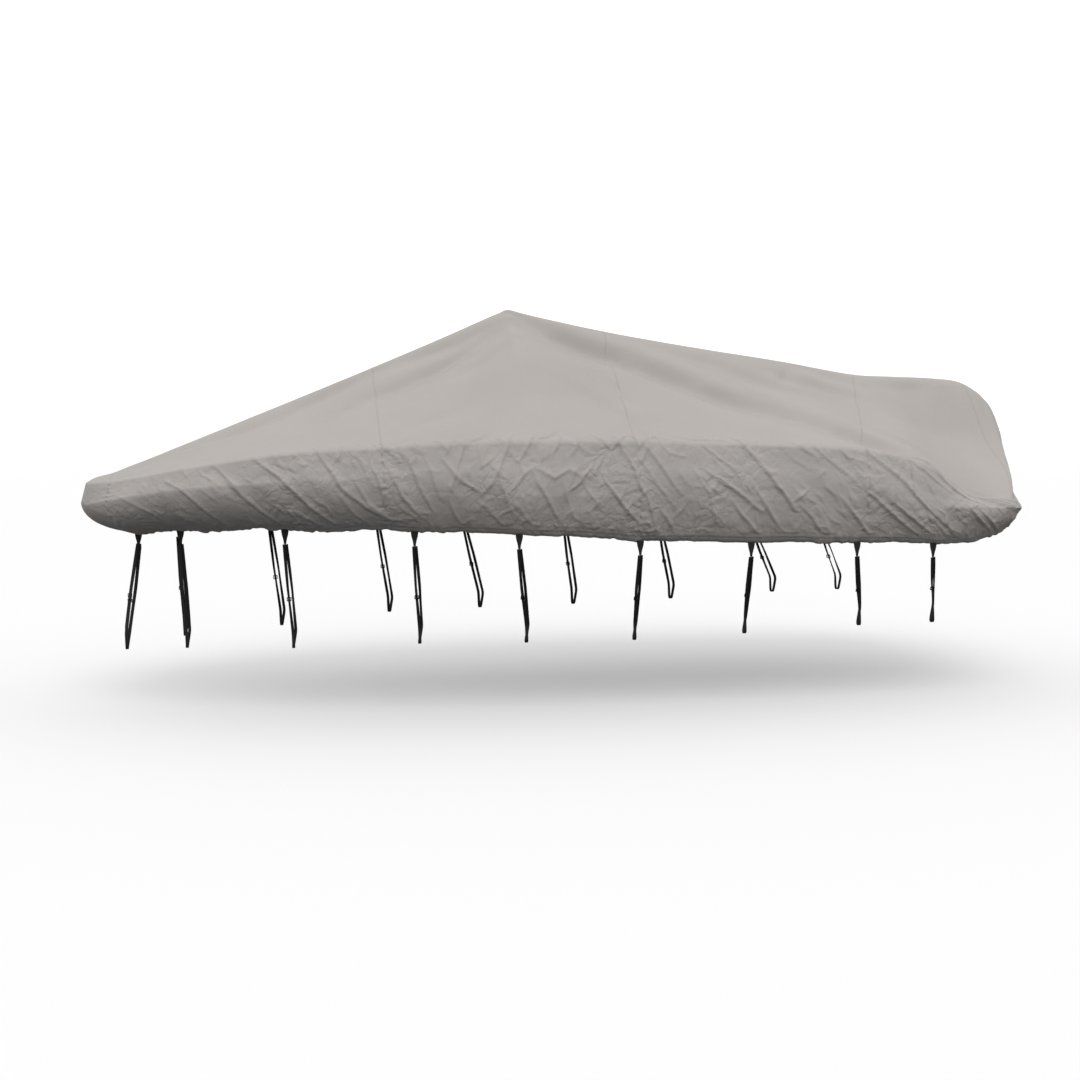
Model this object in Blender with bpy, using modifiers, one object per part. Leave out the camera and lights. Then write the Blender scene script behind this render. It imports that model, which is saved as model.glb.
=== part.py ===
"""Trailerable boat cover: sewn cloth panels draped over an absent boat and held down by webbing straps.

Metres, +Z up, +X to the stern, -Y to the near side. The origin is the underside of the cloth at its
peak, where the support inside the boat pushes it up. The panels run across the boat, over the ridge,
and are sewn edge to edge. Every panel is one stretch of the same skin, which is drawn by four lines
along each side of the boat: ridge, gunwale, rub rail and hem.
"""
import bpy
import bmesh
import numpy as np

CLOTH_THICKNESS = 0.002
SEAM_GAP = 0.0006           # between neighbouring panels, measured along the rub rail
PEAK_RADIUS = 0.07          # how round the ridge is across the boat
HOOD_HALF_WIDTH = 0.31      # of the motor under the stern end of the ridge
HOOD_ROUNDING = 0.20        # how much rounder the ridge is over the motor
HOOD_POWER = 2.4            # of the bell that falls round the motor, 2 being a normal curve
HOOD_TENT_SHARE = 0.35      # of the plain ridge that stays in the hood
TOP_SAG = 0.10              # how far the straight sides of the top sag between ridge and gunwale
SAG_HALF_WIDTH = 0.5        # sections narrower than this don't sag

WEBBING_WIDTH = 0.020
WEBBING_THICKNESS = 0.0016
TAB_WIDTH = 0.048
TAB_NECK_WIDTH = 0.016
TAB_LENGTH = 0.085
TAB_THICKNESS = 0.003
TRAILER_RAIL_WIDTH = 0.056  # of the absent trailer rail that each strap loops round
TRAILER_RAIL_HEIGHT = 0.112
FOOT_CORNER = 0.012         # above the loop's foot, where the webbing turns under the trailer rail
FOOT_FLAT = 0.55            # share of the trailer rail's width where the webbing lies flat under it
FRONT_RUN_X = -0.007        # of the webbing's front run at the tab's neck, and of its back run
BACK_RUN_X = 0.009
RUN_APART = 0.003           # half the distance across the boat between the two runs there
RUN_BOW = 0.005             # how far each run bows away from the other halfway down
BUCKLE_WIDTH = 0.030
BUCKLE_HEIGHT = 0.026
BUCKLE_THICKNESS = 0.005
BUCKLE_BORDER = 0.005
BUCKLE_DROP = 0.62          # share of the front run above the buckle
PIECE_GAP = 0.0004
HANG_LEAN = 0.08            # how far the middle of the skirt leans in under the rub rail
SLOPE_STEP = 0.015          # along and across, to find which way the skin faces

# One row a section, from the middle of the bow round one side to the middle of the stern.
# tuck is how far down the skirt hangs before it turns in, hood how much the motor shapes the top,
# and bow how far the middle of the section's top stands towards the stern.
SECTION_COLUMNS = ("ridge_x", "ridge_z", "gunwale_x", "gunwale_y", "gunwale_z",
                   "rail_x", "rail_y", "rail_z", "hem_x", "hem_y", "hem_z", "tuck", "hood", "bow")
SECTIONS = {
    "bow": (-2.7, -1.1, -2.852, 0, -1.15, -2.888, 0, -1.285, -2.56, 0, -1.48, .8, 0, 0),
    "bow_round": (-2.695, -1.098, -2.812, .19, -1.143, -2.84, .218, -1.275, -2.545, .05, -1.48, .8, 0, 0),
    "nose_seam": (-2.68, -1.092, -2.695, .34, -1.124, -2.718, .395, -1.245, -2.5, .11, -1.48, .82, 0, 0),
    "flare": (-2.4, -.985, -2.4, .6, -1.057, -2.43, .645, -1.18, -2.3, .28, -1.46, .76, 0, 0),
    "foredeck": (-2.05, -.842, -2.05, .8, -.985, -2.06, .85, -1.135, -2, .49, -1.442, .7, 0, 0),
    "forward": (-1.6, -.662, -1.6, .965, -.918, -1.61, 1.01, -1.105, -1.56, .73, -1.427, .66, 0, 0),
    "fore_seam": (-.946, -.397, -1.02, 1.09, -.878, -1.01, 1.14, -1.085, -.97, .94, -1.42, .62, 0, 0),
    "fore_peak": (-.45, -.19, -.5, 1.135, -.853, -.5, 1.2, -1.083, -.5, 1.03, -1.432, .6, 0, 0),
    "before_peak": (-.06, -.022, -.12, 1.155, -.846, -.12, 1.215, -1.088, -.12, 1.085, -1.448, .6, 0, 0),
    "peak": (0, 0, -.03, 1.158, -.846, -.03, 1.217, -1.088, -.03, 1.09, -1.452, .6, 0, 0),
    "after_peak": (.09, -.022, .05, 1.16, -.846, .05, 1.22, -1.089, .05, 1.095, -1.457, .6, 0, 0),
    "mid_seam": (.67, -.146, .597, 1.17, -.846, .62, 1.23, -1.098, .653, 1.115, -1.499, .6, 0, 0),
    "midships": (1.4, -.27, 1.3, 1.17, -.877, 1.32, 1.23, -1.118, 1.35, 1.118, -1.525, .6, 0, 0),
    "quarter": (2, -.362, 1.8, 1.161, -.896, 1.8, 1.22, -1.138, 1.8, 1.11, -1.538, .6, .05, 0),
    "aft_seam": (2.515, -.452, 2.18, 1.15, -.93, 2.18, 1.21, -1.172, 2.15, 1.105, -1.546, .58, .2, 0),
    "well": (2.8, -.468, 2.5, 1.138, -.98, 2.5, 1.195, -1.235, 2.48, 1.09, -1.555, .56, .4, 0),
    "dart": (2.98, -.475, 2.8, 1.11, -1.15, 2.8, 1.17, -1.315, 2.78, 1.07, -1.566, .54, .55, .02),
    "haunch": (3.16, -.485, 3.07, 1.08, -1.262, 3.08, 1.13, -1.32, 3.05, 1, -1.57, .38, .65, .06),
    "corner": (3.31, -.503, 3.27, 1.05, -1.262, 3.322, 1.068, -1.335, 3.24, .91, -1.52, .22, .7, .08),
    "transom": (3.39, -.545, 3.345, .86, -1.185, 3.39, .865, -1.33, 3.29, .8, -1.505, .3, .7, .08),
    "well_edge": (3.46, -.6, 3.435, .58, -1.092, 3.46, .585, -1.32, 3.43, .57, -1.49, .58, .6, .06),
    "arch_foot": (3.535, -.675, 3.492, .37, -1, 3.505, .36, -1.15, 3.49, .325, -1.31, .55, .3, .03),
    "arch_side": (3.585, -.745, 3.575, .21, -.88, 3.59, .195, -.945, 3.592, .17, -1.02, .55, .1, 0),
    "stern": (3.608, -.785, 3.632, 0, -.85, 3.645, 0, -.9, 3.655, 0, -.948, .55, 0, 0),
}

# Panels in order from the bow, with the sections where each begins and ends and its columns of faces.
PANEL_COLUMNS = ("name", "from", "to", "columns")
PANELS = (
    ("nose_cap",       "bow",       "nose_seam", 4),
    ("fore_panel",     "nose_seam", "fore_seam", 9),
    ("mid_panel",      "fore_seam", "mid_seam",  8),
    ("aft_panel",      "mid_seam",  "aft_seam",  8),
    ("stern_panel",    "aft_seam",  "corner",    6),
    ("transom_panel",  "corner",    "stern",     7),
)
SEAM_STRIP = 0.012  # width of the narrow column of faces beside each seam, which meets it squarely

# Places across the skin where rows of faces meet: 0 the ridge, 1 the gunwale, 2 the rub rail, 3 the hem.
SKIN_ROWS = (0, .04, .12, .26, .42, .58, .74, .89, .955, 1.02, 1.13, 1.7, 2.0, 2.25, 2.65, 3)
GUNWALE_ROUND = (0.045, 0.13)   # where the rounding of the gunwale crease begins and ends
RAIL_ROUND = (0.30, 0.25)       # the same for the rub rail
# share of the rub rail's rounding by place along the boat: the crease is tighter at both ends
RAIL_SOFTNESS = ((-2.4, 0.22), (-1.2, 0.45), (-0.6, 1.0), (1.9, 1.0), (2.7, 0.30), (3.3, 0.12))
SKIN_LENGTHS = (0.0, 1.25, 1.50, 1.92)  # usual distance from the ridge to each line

# Main folds of the near side, as straight creases between two places (along the rail, across the
# skin): depth is inwards, and a negative one is a raised fold. The far side has the same, moved along.
FOLD_COLUMNS = ("x_from", "across_from", "x_to", "across_to", "width", "depth")
FOLDS = (
    (-1.95, .55, -0.15, .12, .10, .010),
    (-1.05, .30, -0.10, .16, .07, .007),
    (0.12, .10, 0.95, .34, .09, .014),
    (0.95, .34, 1.75, .72, .12, .022),
    (1.75, .72, 2.45, .97, .11, .020),
    (1.15, .18, 2.05, .42, .10, .010),
    (2.55, .98, 3.20, 2.6, .10, -.020),
    (2.85, .90, 3.26, 2.2, .09, .016),
    (-2.10, 1.1, -1.72, 2.5, .09, .012),
    (-1.62, 1.1, -1.15, 2.6, .09, -.012),
    (-1.05, 1.1, -0.62, 2.6, .09, .012),
    (-0.45, 1.1, -0.12, 2.6, .10, -.010),
    (0.45, 1.1, 0.10, 2.6, .10, .012),
    (0.75, 1.1, 1.15, 2.6, .10, -.012),
    (1.55, 1.1, 2.05, 2.6, .10, .013),
    (2.05, 1.1, 2.65, 2.6, .10, -.014),
)
FAR_SIDE_SHIFT = 0.17
WAVE_DEPTH = 0.004          # of the skirt's slow wave in and out, for each unit across below the gunwale
WAVE_TURNS = 9.0            # radians of that wave in a metre along the rub rail

# Straps of one side: where the tab is sewn along the hem, and the foot of the loop.
STRAP_COLUMNS = ("hem_x", "foot_x", "foot_y", "foot_z")
STRAPS = (
    (-2.52, -2.61, 0.12, -2.255),
    (-2.25, -2.22, 0.27, -2.235),
    (-1.60, -1.54, 0.52, -2.220),
    (-0.80, -0.74, 0.76, -2.180),
    (-0.14, -0.05, 0.86, -2.180),
    (0.65, 0.67, 0.90, -2.180),
    (1.40, 1.43, 0.90, -2.160),
    (2.14, 2.24, 0.90, -2.130),
    (2.69, 2.77, 0.90, -2.125),
)

PANEL_TINTS = {
    "nose_cap": (.345, .325, .305),
    "fore_panel": (.480, .462, .445),
    "mid_panel": (.482, .463, .446),
    "aft_panel": (.478, .459, .442),
    "stern_panel": (.474, .456, .440),
    "transom_panel": (.440, .424, .408),
}
STRAP_TINT = (.006, .006, .006)
BUCKLE_TINT = (.010, .010, .011)


def clear_scene():
    """Remove every object and give the cover's parts a collection of their own."""
    for item in list(bpy.data.objects):
        bpy.data.objects.remove(item, do_unlink=True)
    parts = bpy.data.collections.new("boat_cover")
    bpy.context.scene.collection.children.link(parts)
    return parts


def finish(name, tint, roughness):
    """A material of the part's own colour."""
    material = bpy.data.materials.new(name)
    material.use_nodes = True
    shader = material.node_tree.nodes["Principled BSDF"]
    shader.inputs["Base Color"].default_value = (*tint, 1.0)
    shader.inputs["Roughness"].default_value = roughness
    shader.inputs["Metallic"].default_value = 0.0
    return material


def section_lines():
    """The sections' columns by name, and each section's distance along the rub rail from the bow."""
    table = np.array(list(SECTIONS.values()))
    column = dict(zip(SECTION_COLUMNS, table.T))
    rail = np.stack([column["rail_x"], column["rail_y"], column["rail_z"]], axis=1)
    along = np.concatenate([[0.0], np.cumsum(np.linalg.norm(np.diff(rail, axis=0), axis=1))])
    return column, along


COLUMN, ALONG = section_lines()


def smooth(values, at):
    """A cubic curve through the sections' values: its slope at each section is the neighbours' slope."""
    slope = np.gradient(values, ALONG)
    k = np.clip(np.searchsorted(ALONG, at, side="right") - 1, 0, len(ALONG) - 2)
    span = ALONG[k + 1] - ALONG[k]
    t = (at - ALONG[k]) / span
    return ((1 + 2 * t) * (1 - t) ** 2 * values[k] + t * (1 - t) ** 2 * span * slope[k]
            + t * t * (3 - 2 * t) * values[k + 1] - t * t * (1 - t) * span * slope[k + 1])


def along_of(section):
    """Distance along the rub rail of a named section."""
    return ALONG[list(SECTIONS).index(section)]


def mix(a, b, t):
    """Straight blend from a to b."""
    return a + (b - a) * t


def bare_skin(along, across):
    """The skin's underside with no folds, on the side +Y, for every pair of along and across.

    From ridge to gunwale the section falls like a hyperbola, so the ridge is round and the sides
    straight, and near the motor it falls like a bell round the motor's half width instead. From the
    gunwale to the rub rail it is straight, and the skirt below is a quadratic curve that hangs down
    and turns in. Both creases are rounded by a quadratic curve with the crease as its control point.
    """
    line = {name: smooth(values, along)[:, None] for name, values in COLUMN.items()}
    gunwale = np.stack([line["gunwale_x"], line["gunwale_y"], line["gunwale_z"]], axis=-1)
    rail = np.stack([line["rail_x"], line["rail_y"], line["rail_z"]], axis=-1)
    hem = np.stack([line["hem_x"], line["hem_y"], line["hem_z"]], axis=-1)
    hang = mix(rail, hem, HANG_LEAN)
    hang[..., 2] = mix(rail[..., 2], hem[..., 2], line["tuck"])

    def top(q):
        y = line["gunwale_y"] * q
        radius = PEAK_RADIUS + HOOD_ROUNDING * line["hood"]
        full = np.hypot(line["gunwale_y"], radius) - radius
        tent = (np.hypot(y, radius) - radius) / np.maximum(full, 1e-6)
        tent = np.where(line["gunwale_y"] > 0.02, tent, q)
        bell = 1 - np.exp(-(y / HOOD_HALF_WIDTH) ** HOOD_POWER)
        sag = TOP_SAG * tent * (1 - tent) * (line["gunwale_y"] > SAG_HALF_WIDTH)
        drop = mix(tent + sag, bell, line["hood"] * (1 - q ** 2))
        drop = mix(drop, tent, line["hood"] * HOOD_TENT_SHARE)
        x = mix(line["ridge_x"], line["gunwale_x"], q) + line["bow"] * 4 * q * (1 - q)
        z = mix(line["ridge_z"], line["gunwale_z"], drop)
        return np.stack([x, y, z], axis=-1)

    def band(q):
        return mix(gunwale, rail, q[..., None])

    def skirt(q):
        q = q[..., None]
        return (1 - q) ** 2 * rail + 2 * q * (1 - q) * hang + q * q * hem

    s = across[None, :]
    before, after = GUNWALE_ROUND
    point = np.where((s < 1)[..., None], top(np.minimum(s, 1.0)),
                     np.where((s < 2)[..., None], band(np.clip(s - 1, 0, 1)), skirt(np.clip(s - 2, 0, 1))))
    one = np.ones_like(s)
    t = ((s - (1 - before)) / (before + after))[..., None]
    crease = (1 - t) ** 2 * top(one - before) + 2 * t * (1 - t) * gunwale + t * t * band(one * after)
    point = np.where(((t > 0) & (t < 1)), crease, point)
    softness = np.interp(line["rail_x"], *np.array(RAIL_SOFTNESS).T)
    before, after = RAIL_ROUND[0] * softness, RAIL_ROUND[1] * softness
    t = ((s - (2 - before)) / (before + after))[..., None]
    edge = (1 - t) ** 2 * band(one - before) + 2 * t * (1 - t) * rail + t * t * skirt(one * after)
    return np.where(((t > 0) & (t < 1)), edge, point)


def outward(along, across):
    """Unit normals of the bare skin, away from the boat: the cross product of its slopes both ways."""
    lower, upper = np.clip(along - SLOPE_STEP, 0, ALONG[-1]), np.clip(along + SLOPE_STEP, 0, ALONG[-1])
    inner, outer = np.clip(across - SLOPE_STEP, 0, 3), np.clip(across + SLOPE_STEP, 0, 3)
    normal = np.cross(bare_skin(upper, across) - bare_skin(lower, across),
                      bare_skin(along, outer) - bare_skin(along, inner))
    length = np.linalg.norm(normal, axis=-1, keepdims=True)
    return np.where(length > 1e-9, normal / np.maximum(length, 1e-9), np.array([0.0, 0.0, 1.0]))


def metres_across(across):
    """Usual distance from the ridge of a place across the skin."""
    return np.interp(across, (0, 1, 2, 3), SKIN_LENGTHS)


def fold_depth(along, across, shift):
    """How deep the folds press in: for each fold a bell across its crease, fading out at both ends."""
    rail_x = smooth(COLUMN["rail_x"], along)
    u, v = np.meshgrid(rail_x, metres_across(across), indexing="ij")
    depth = np.zeros_like(u)
    for row in FOLDS:
        fold = dict(zip(FOLD_COLUMNS, row))
        start = np.array([fold["x_from"] + shift, metres_across(fold["across_from"])])
        end = np.array([fold["x_to"] + shift, metres_across(fold["across_to"])])
        run = end - start
        share = ((u - start[0]) * run[0] + (v - start[1]) * run[1]) / (run @ run)
        near = np.clip(share, 0, 1)
        away = np.hypot(u - start[0] - near * run[0], v - start[1] - near * run[1])
        taper = np.sin(np.pi * np.clip(0.15 + 0.7 * near, 0, 1))
        depth += fold["depth"] * taper * np.exp(-(away / fold["width"]) ** 2)
    ends = np.minimum(along / 0.3, (ALONG[-1] - along) / 0.5).clip(0, 1)[:, None]
    centre = np.clip(across / 0.08, 0, 1)[None, :]
    return depth * ends * centre


def skin(along, across, side):
    """The skin's underside with its folds; side is -1 for the near side and 1 for the far side."""
    base = bare_skin(along, across)
    shift = 0.0 if side < 0 else FAR_SIDE_SHIFT
    wave = WAVE_DEPTH * np.sin(along * WAVE_TURNS + shift * 20)[:, None]
    wave = wave * np.clip(across - 1.2, 0, 1.8)[None, :]
    wave *= np.clip(along / 0.4, 0, 1)[:, None] * np.clip((ALONG[-1] - along) / 0.6, 0, 1)[:, None]
    depth = fold_depth(along, across, shift) + wave
    point = base - outward(along, across) * depth[..., None]
    point[..., 1] *= side
    return point


def panel_stretch(start, end, columns):
    """Distances along the rub rail of a panel's columns, half a seam gap inside its two seams."""
    first = along_of(start) + (SEAM_GAP / 2 if start != "bow" else 0.0)
    last = along_of(end) - (SEAM_GAP / 2 if end != "stern" else 0.0)
    inner = [first + SEAM_STRIP] if start != "bow" else []
    outer = [last - SEAM_STRIP] if end != "stern" else []
    middle = np.linspace(inner[0] if inner else first, outer[0] if outer else last, columns + 1)
    return np.concatenate([[first] * len(inner), middle, [last] * len(outer)])


def make_panel(name, start, end, columns, parts):
    """One panel: a grid on each side of the boat, welded along the ridge, made solid by Solidify."""
    stretch = panel_stretch(start, end, columns)
    rows = np.array(SKIN_ROWS, dtype=float)
    corner, faces = [], []
    for side in (-1, 1):
        grid = skin(stretch, rows, side)
        base = len(corner)
        corner.extend(grid.reshape(-1, 3).tolist())
        index = base + np.arange(grid.shape[0] * grid.shape[1]).reshape(grid.shape[:2])
        quad = np.stack([index[:-1, :-1], index[1:, :-1], index[1:, 1:], index[:-1, 1:]], axis=-1)
        quad = quad.reshape(-1, 4)
        faces.extend((quad if side > 0 else quad[:, ::-1]).tolist())
    mesh = bpy.data.meshes.new(name)
    mesh.from_pydata(corner, [], faces)
    work = bmesh.new()
    work.from_mesh(mesh)
    bmesh.ops.remove_doubles(work, verts=work.verts, dist=0.00002)
    work.to_mesh(mesh)
    work.free()
    mesh.shade_smooth()
    panel = bpy.data.objects.new(name, mesh)
    parts.objects.link(panel)
    panel.data.materials.append(finish(name, PANEL_TINTS[name], 0.85))
    shell = panel.modifiers.new("cloth_thickness", "SOLIDIFY")
    shell.thickness = CLOTH_THICKNESS
    shell.offset = 1.0
    shell.use_even_offset = True
    return panel


def hem_line(side):
    """The hem's faceted edge as built, from the bow to the stern, as points in order."""
    rows = np.array(SKIN_ROWS, dtype=float)
    return np.concatenate([skin(panel_stretch(*row[1:]), rows, side)[:, -1] for row in PANELS])


def sheet_outline(name, loops, thickness, parts):
    """A flat curve filled between its loops, lying in X and Z, and extruded to its thickness."""
    curve = bpy.data.curves.new(name, "CURVE")
    curve.dimensions = "2D"
    curve.fill_mode = "BOTH"
    curve.extrude = thickness / 2
    for loop in loops:
        spline = curve.splines.new("POLY")
        spline.points.add(len(loop) - 1)
        for point, (x, z) in zip(spline.points, loop):
            point.co = (x, z, 0, 1)
        spline.use_cyclic_u = True
    flat = bpy.data.objects.new(name, curve)
    parts.objects.link(flat)
    return flat


def to_solid(flat, parts):
    """Turn a filled curve into a closed mesh object of the same name and place."""
    name = flat.name
    bpy.context.view_layer.update()
    mesh = bpy.data.meshes.new_from_object(flat.evaluated_get(bpy.context.evaluated_depsgraph_get()))
    place = flat.matrix_world.copy()
    bpy.data.objects.remove(flat, do_unlink=True)
    work = bmesh.new()
    work.from_mesh(mesh)
    bmesh.ops.remove_doubles(work, verts=work.verts, dist=0.00002)
    bmesh.ops.recalc_face_normals(work, faces=work.faces)
    work.to_mesh(mesh)
    work.free()
    solid = bpy.data.objects.new(name, mesh)
    parts.objects.link(solid)
    solid.matrix_world = place
    return solid


def make_tab(name, head, parts):
    """The webbing tab sewn under the hem: a flat piece, wide at the hem and gathered to a neck."""
    wide, neck = TAB_WIDTH / 2, TAB_NECK_WIDTH / 2
    loop = [(-wide, 0), (-neck, -TAB_LENGTH), (neck, -TAB_LENGTH), (wide, 0)]
    tab = sheet_outline(name, [loop], TAB_THICKNESS, parts)
    tab.rotation_euler = (np.pi / 2, 0, 0)
    tab.location = head
    tab = to_solid(tab, parts)
    tab.data.materials.append(finish(name, STRAP_TINT, 0.75))
    return tab


def strap_route(head, foot, side):
    """Middle line of the webbing: down the front, round the trailer rail and back up behind."""
    half, tall = TRAILER_RAIL_WIDTH / 2, TRAILER_RAIL_HEIGHT
    neck = np.array(head) - (0, 0, TAB_LENGTH + PIECE_GAP)
    x, y, z = foot
    flat = half * FOOT_FLAT
    front = np.array([(x - .004, y + half, z + tall), (x, y + half, z + FOOT_CORNER)])
    under = np.array([(x, y + flat, z), (x + .002, y - flat, z)])
    back = np.array([(x + .003, y - half, z + FOOT_CORNER), (x + .020, y - half, z + tall)])
    flip = np.array([1, side, 1])
    start = neck + (FRONT_RUN_X, RUN_APART * side, 0)
    end = neck + (BACK_RUN_X, -RUN_APART * side, 0)
    down = [start, mix(start, front[0] * flip, 0.5) + (-RUN_BOW, 0, 0)]
    up = [mix(back[1] * flip, end, 0.5) + (RUN_BOW, 0, 0), end]
    return np.array(down + [p * flip for p in (*front, *under, *back)] + up)


def make_strap(name, route, side, parts):
    """The webbing: a flat band carried along its route, its width always along the boat."""
    tangent = np.gradient(route, axis=0)
    tangent /= np.linalg.norm(tangent, axis=1, keepdims=True)
    wide = np.tile([1.0, 0.0, 0.0], (len(route), 1))
    wide -= tangent * np.sum(wide * tangent, axis=1, keepdims=True)
    wide /= np.linalg.norm(wide, axis=1, keepdims=True)
    flat = np.cross(tangent, wide)
    w, t = WEBBING_WIDTH / 2, WEBBING_THICKNESS / 2
    ring = [route + wide * a * w + flat * b * t for a, b in ((-1, -1), (1, -1), (1, 1), (-1, 1))]
    work = bmesh.new()
    verts = [[work.verts.new(point) for point in step] for step in np.stack(ring, axis=1)]
    for one, two in zip(verts, verts[1:]):
        for k in range(4):
            work.faces.new((one[k], one[(k + 1) % 4], two[(k + 1) % 4], two[k]))
    work.faces.new(verts[0][::-1])
    work.faces.new(verts[-1])
    bmesh.ops.recalc_face_normals(work, faces=work.faces)
    mesh = bpy.data.meshes.new(name)
    work.to_mesh(mesh)
    work.free()
    strap = bpy.data.objects.new(name, mesh)
    parts.objects.link(strap)
    strap.data.materials.append(finish(name, STRAP_TINT, 0.75))
    return strap


def make_buckle(name, route, side, parts):
    """The slider buckle: a plain frame with one window, lying on the outer face of the front run."""
    w, h = BUCKLE_WIDTH / 2, BUCKLE_HEIGHT / 2
    i, j = w - BUCKLE_BORDER, h - BUCKLE_BORDER
    outer = [(-w, -h), (w, -h), (w, h), (-w, h)]
    inner = [(-i, -j), (-i, j), (i, j), (i, -j)]
    buckle = sheet_outline(name, [outer, inner], BUCKLE_THICKNESS, parts)
    share = (BUCKLE_DROP - 0.5) / 0.5
    on_run = mix(route[1], route[2], share)
    run = route[1] - route[2]
    lean = np.arctan2(run[1], run[2])
    clear = (BUCKLE_THICKNESS + WEBBING_THICKNESS) / 2 + PIECE_GAP
    off = np.array([0, np.cos(lean), -np.sin(lean)]) * side * clear
    buckle.rotation_euler = (np.pi / 2 - lean, 0, 0)
    buckle.location = on_run + off
    buckle = to_solid(buckle, parts)
    buckle.data.materials.append(finish(name, BUCKLE_TINT, 0.45))
    return buckle


def make_straps(parts):
    """A tab, a strap and a buckle at each place along both sides."""
    for label, side in (("near", -1), ("far", 1)):
        hem = hem_line(side)
        visible = slice(0, int(np.argmax(hem[:, 0] > 3.1)))
        hem = hem[visible]
        for number, row in enumerate(STRAPS, start=1):
            strap = dict(zip(STRAP_COLUMNS, row))
            head = np.array([strap["hem_x"], np.interp(strap["hem_x"], hem[:, 0], hem[:, 1]),
                             np.interp(strap["hem_x"], hem[:, 0], hem[:, 2])])
            ends = np.interp(strap["hem_x"] + TAB_WIDTH / 2 * np.array([-1, 1]), hem[:, 0], hem[:, 2])
            head[2] = ends.min() - CLOTH_THICKNESS - PIECE_GAP
            route = strap_route(head, (strap["foot_x"], strap["foot_y"], strap["foot_z"]), side)
            make_tab(f"tab_{label}_{number}", head, parts)
            make_strap(f"strap_{label}_{number}", route, side, parts)
            make_buckle(f"buckle_{label}_{number}", route, side, parts)


def main():
    """Build the panels from bow to stern, then the straps."""
    parts = clear_scene()
    for row in PANELS:
        panel = dict(zip(PANEL_COLUMNS, row))
        make_panel(panel["name"], panel["from"], panel["to"], panel["columns"], parts)
    make_straps(parts)


main()
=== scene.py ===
"""Looks of a trailerable boat cover: fine cloth panels, seams, hem, webbing straps, stage and light.

Metres, +Z up, +X to the stern, -Y to the near side, with the origin under the cloth at its peak.
The cover's skin is drawn by four lines along each side of the boat (ridge, gunwale, rub rail, hem).
A place on it is its distance along the rub rail from the bow, and its place across: 0 the ridge,
1 the gunwale, 2 the rub rail and 3 the hem.
"""
import math
import bpy
import numpy as np
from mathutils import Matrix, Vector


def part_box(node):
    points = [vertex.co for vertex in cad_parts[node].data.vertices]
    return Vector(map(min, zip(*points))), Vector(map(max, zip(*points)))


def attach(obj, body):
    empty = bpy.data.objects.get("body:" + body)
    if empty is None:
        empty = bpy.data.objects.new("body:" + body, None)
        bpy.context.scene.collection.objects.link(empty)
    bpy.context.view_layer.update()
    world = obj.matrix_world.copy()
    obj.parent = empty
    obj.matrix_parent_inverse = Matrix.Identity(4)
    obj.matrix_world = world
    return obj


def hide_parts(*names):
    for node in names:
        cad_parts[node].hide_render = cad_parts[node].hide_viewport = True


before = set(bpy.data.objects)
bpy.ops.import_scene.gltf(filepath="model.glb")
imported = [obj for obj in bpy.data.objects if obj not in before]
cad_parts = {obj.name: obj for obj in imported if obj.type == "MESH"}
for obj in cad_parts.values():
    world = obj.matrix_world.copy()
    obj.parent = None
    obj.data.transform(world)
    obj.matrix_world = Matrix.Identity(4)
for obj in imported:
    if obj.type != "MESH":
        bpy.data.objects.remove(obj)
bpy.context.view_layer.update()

# ---------------------------------------------------------------- sizes shared with the solids

PEAK_RADIUS = 0.07          # of the ridge
HOOD_HALF_WIDTH = 0.31
HOOD_ROUNDING = 0.20
HOOD_POWER = 2.4            # of the bell that falls round the motor, 2 being a normal curve
HOOD_TENT_SHARE = 0.35      # of the plain ridge that stays in the hood
TOP_SAG = 0.10              # of the straight sides of the top between ridge and gunwale
SAG_HALF_WIDTH = 0.5        # sections narrower than this don't sag
WAVE_DEPTH = 0.004          # of the skirt's slow wave, for each unit across below the gunwale
WAVE_TURNS = 9.0            # radians of that wave in a metre along the rub rail
HANG_LEAN = 0.08            # how far in the skirt's hanging point stands, of the way from rail to hem
SLOPE_STEP = 0.015          # to each side of a place, when its normal is worked out
WEBBING_WIDTH = 0.020
WEBBING_THICKNESS = 0.0016
TAB_WIDTH = 0.048
TAB_NECK_WIDTH = 0.016
TAB_LENGTH = 0.085
TAB_THICKNESS = 0.003       # of both layers with the gap between them
TRAILER_RAIL_WIDTH = 0.056
TRAILER_RAIL_HEIGHT = 0.112
FOOT_CORNER = 0.012         # above the loop's foot, where the webbing turns under the trailer rail
FOOT_FLAT = 0.55            # share of the trailer rail's width where the webbing lies flat under it
FRONT_RUN_X = -0.007        # of the webbing's front run at the tab's neck, and of its back run
BACK_RUN_X = 0.009
RUN_APART = 0.003           # half the distance across the boat between the two runs there
RUN_BOW = 0.005             # how far each run bows away from the other halfway down
PIECE_GAP = 0.0004          # between a tab's foot and the webbing's top

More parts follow.
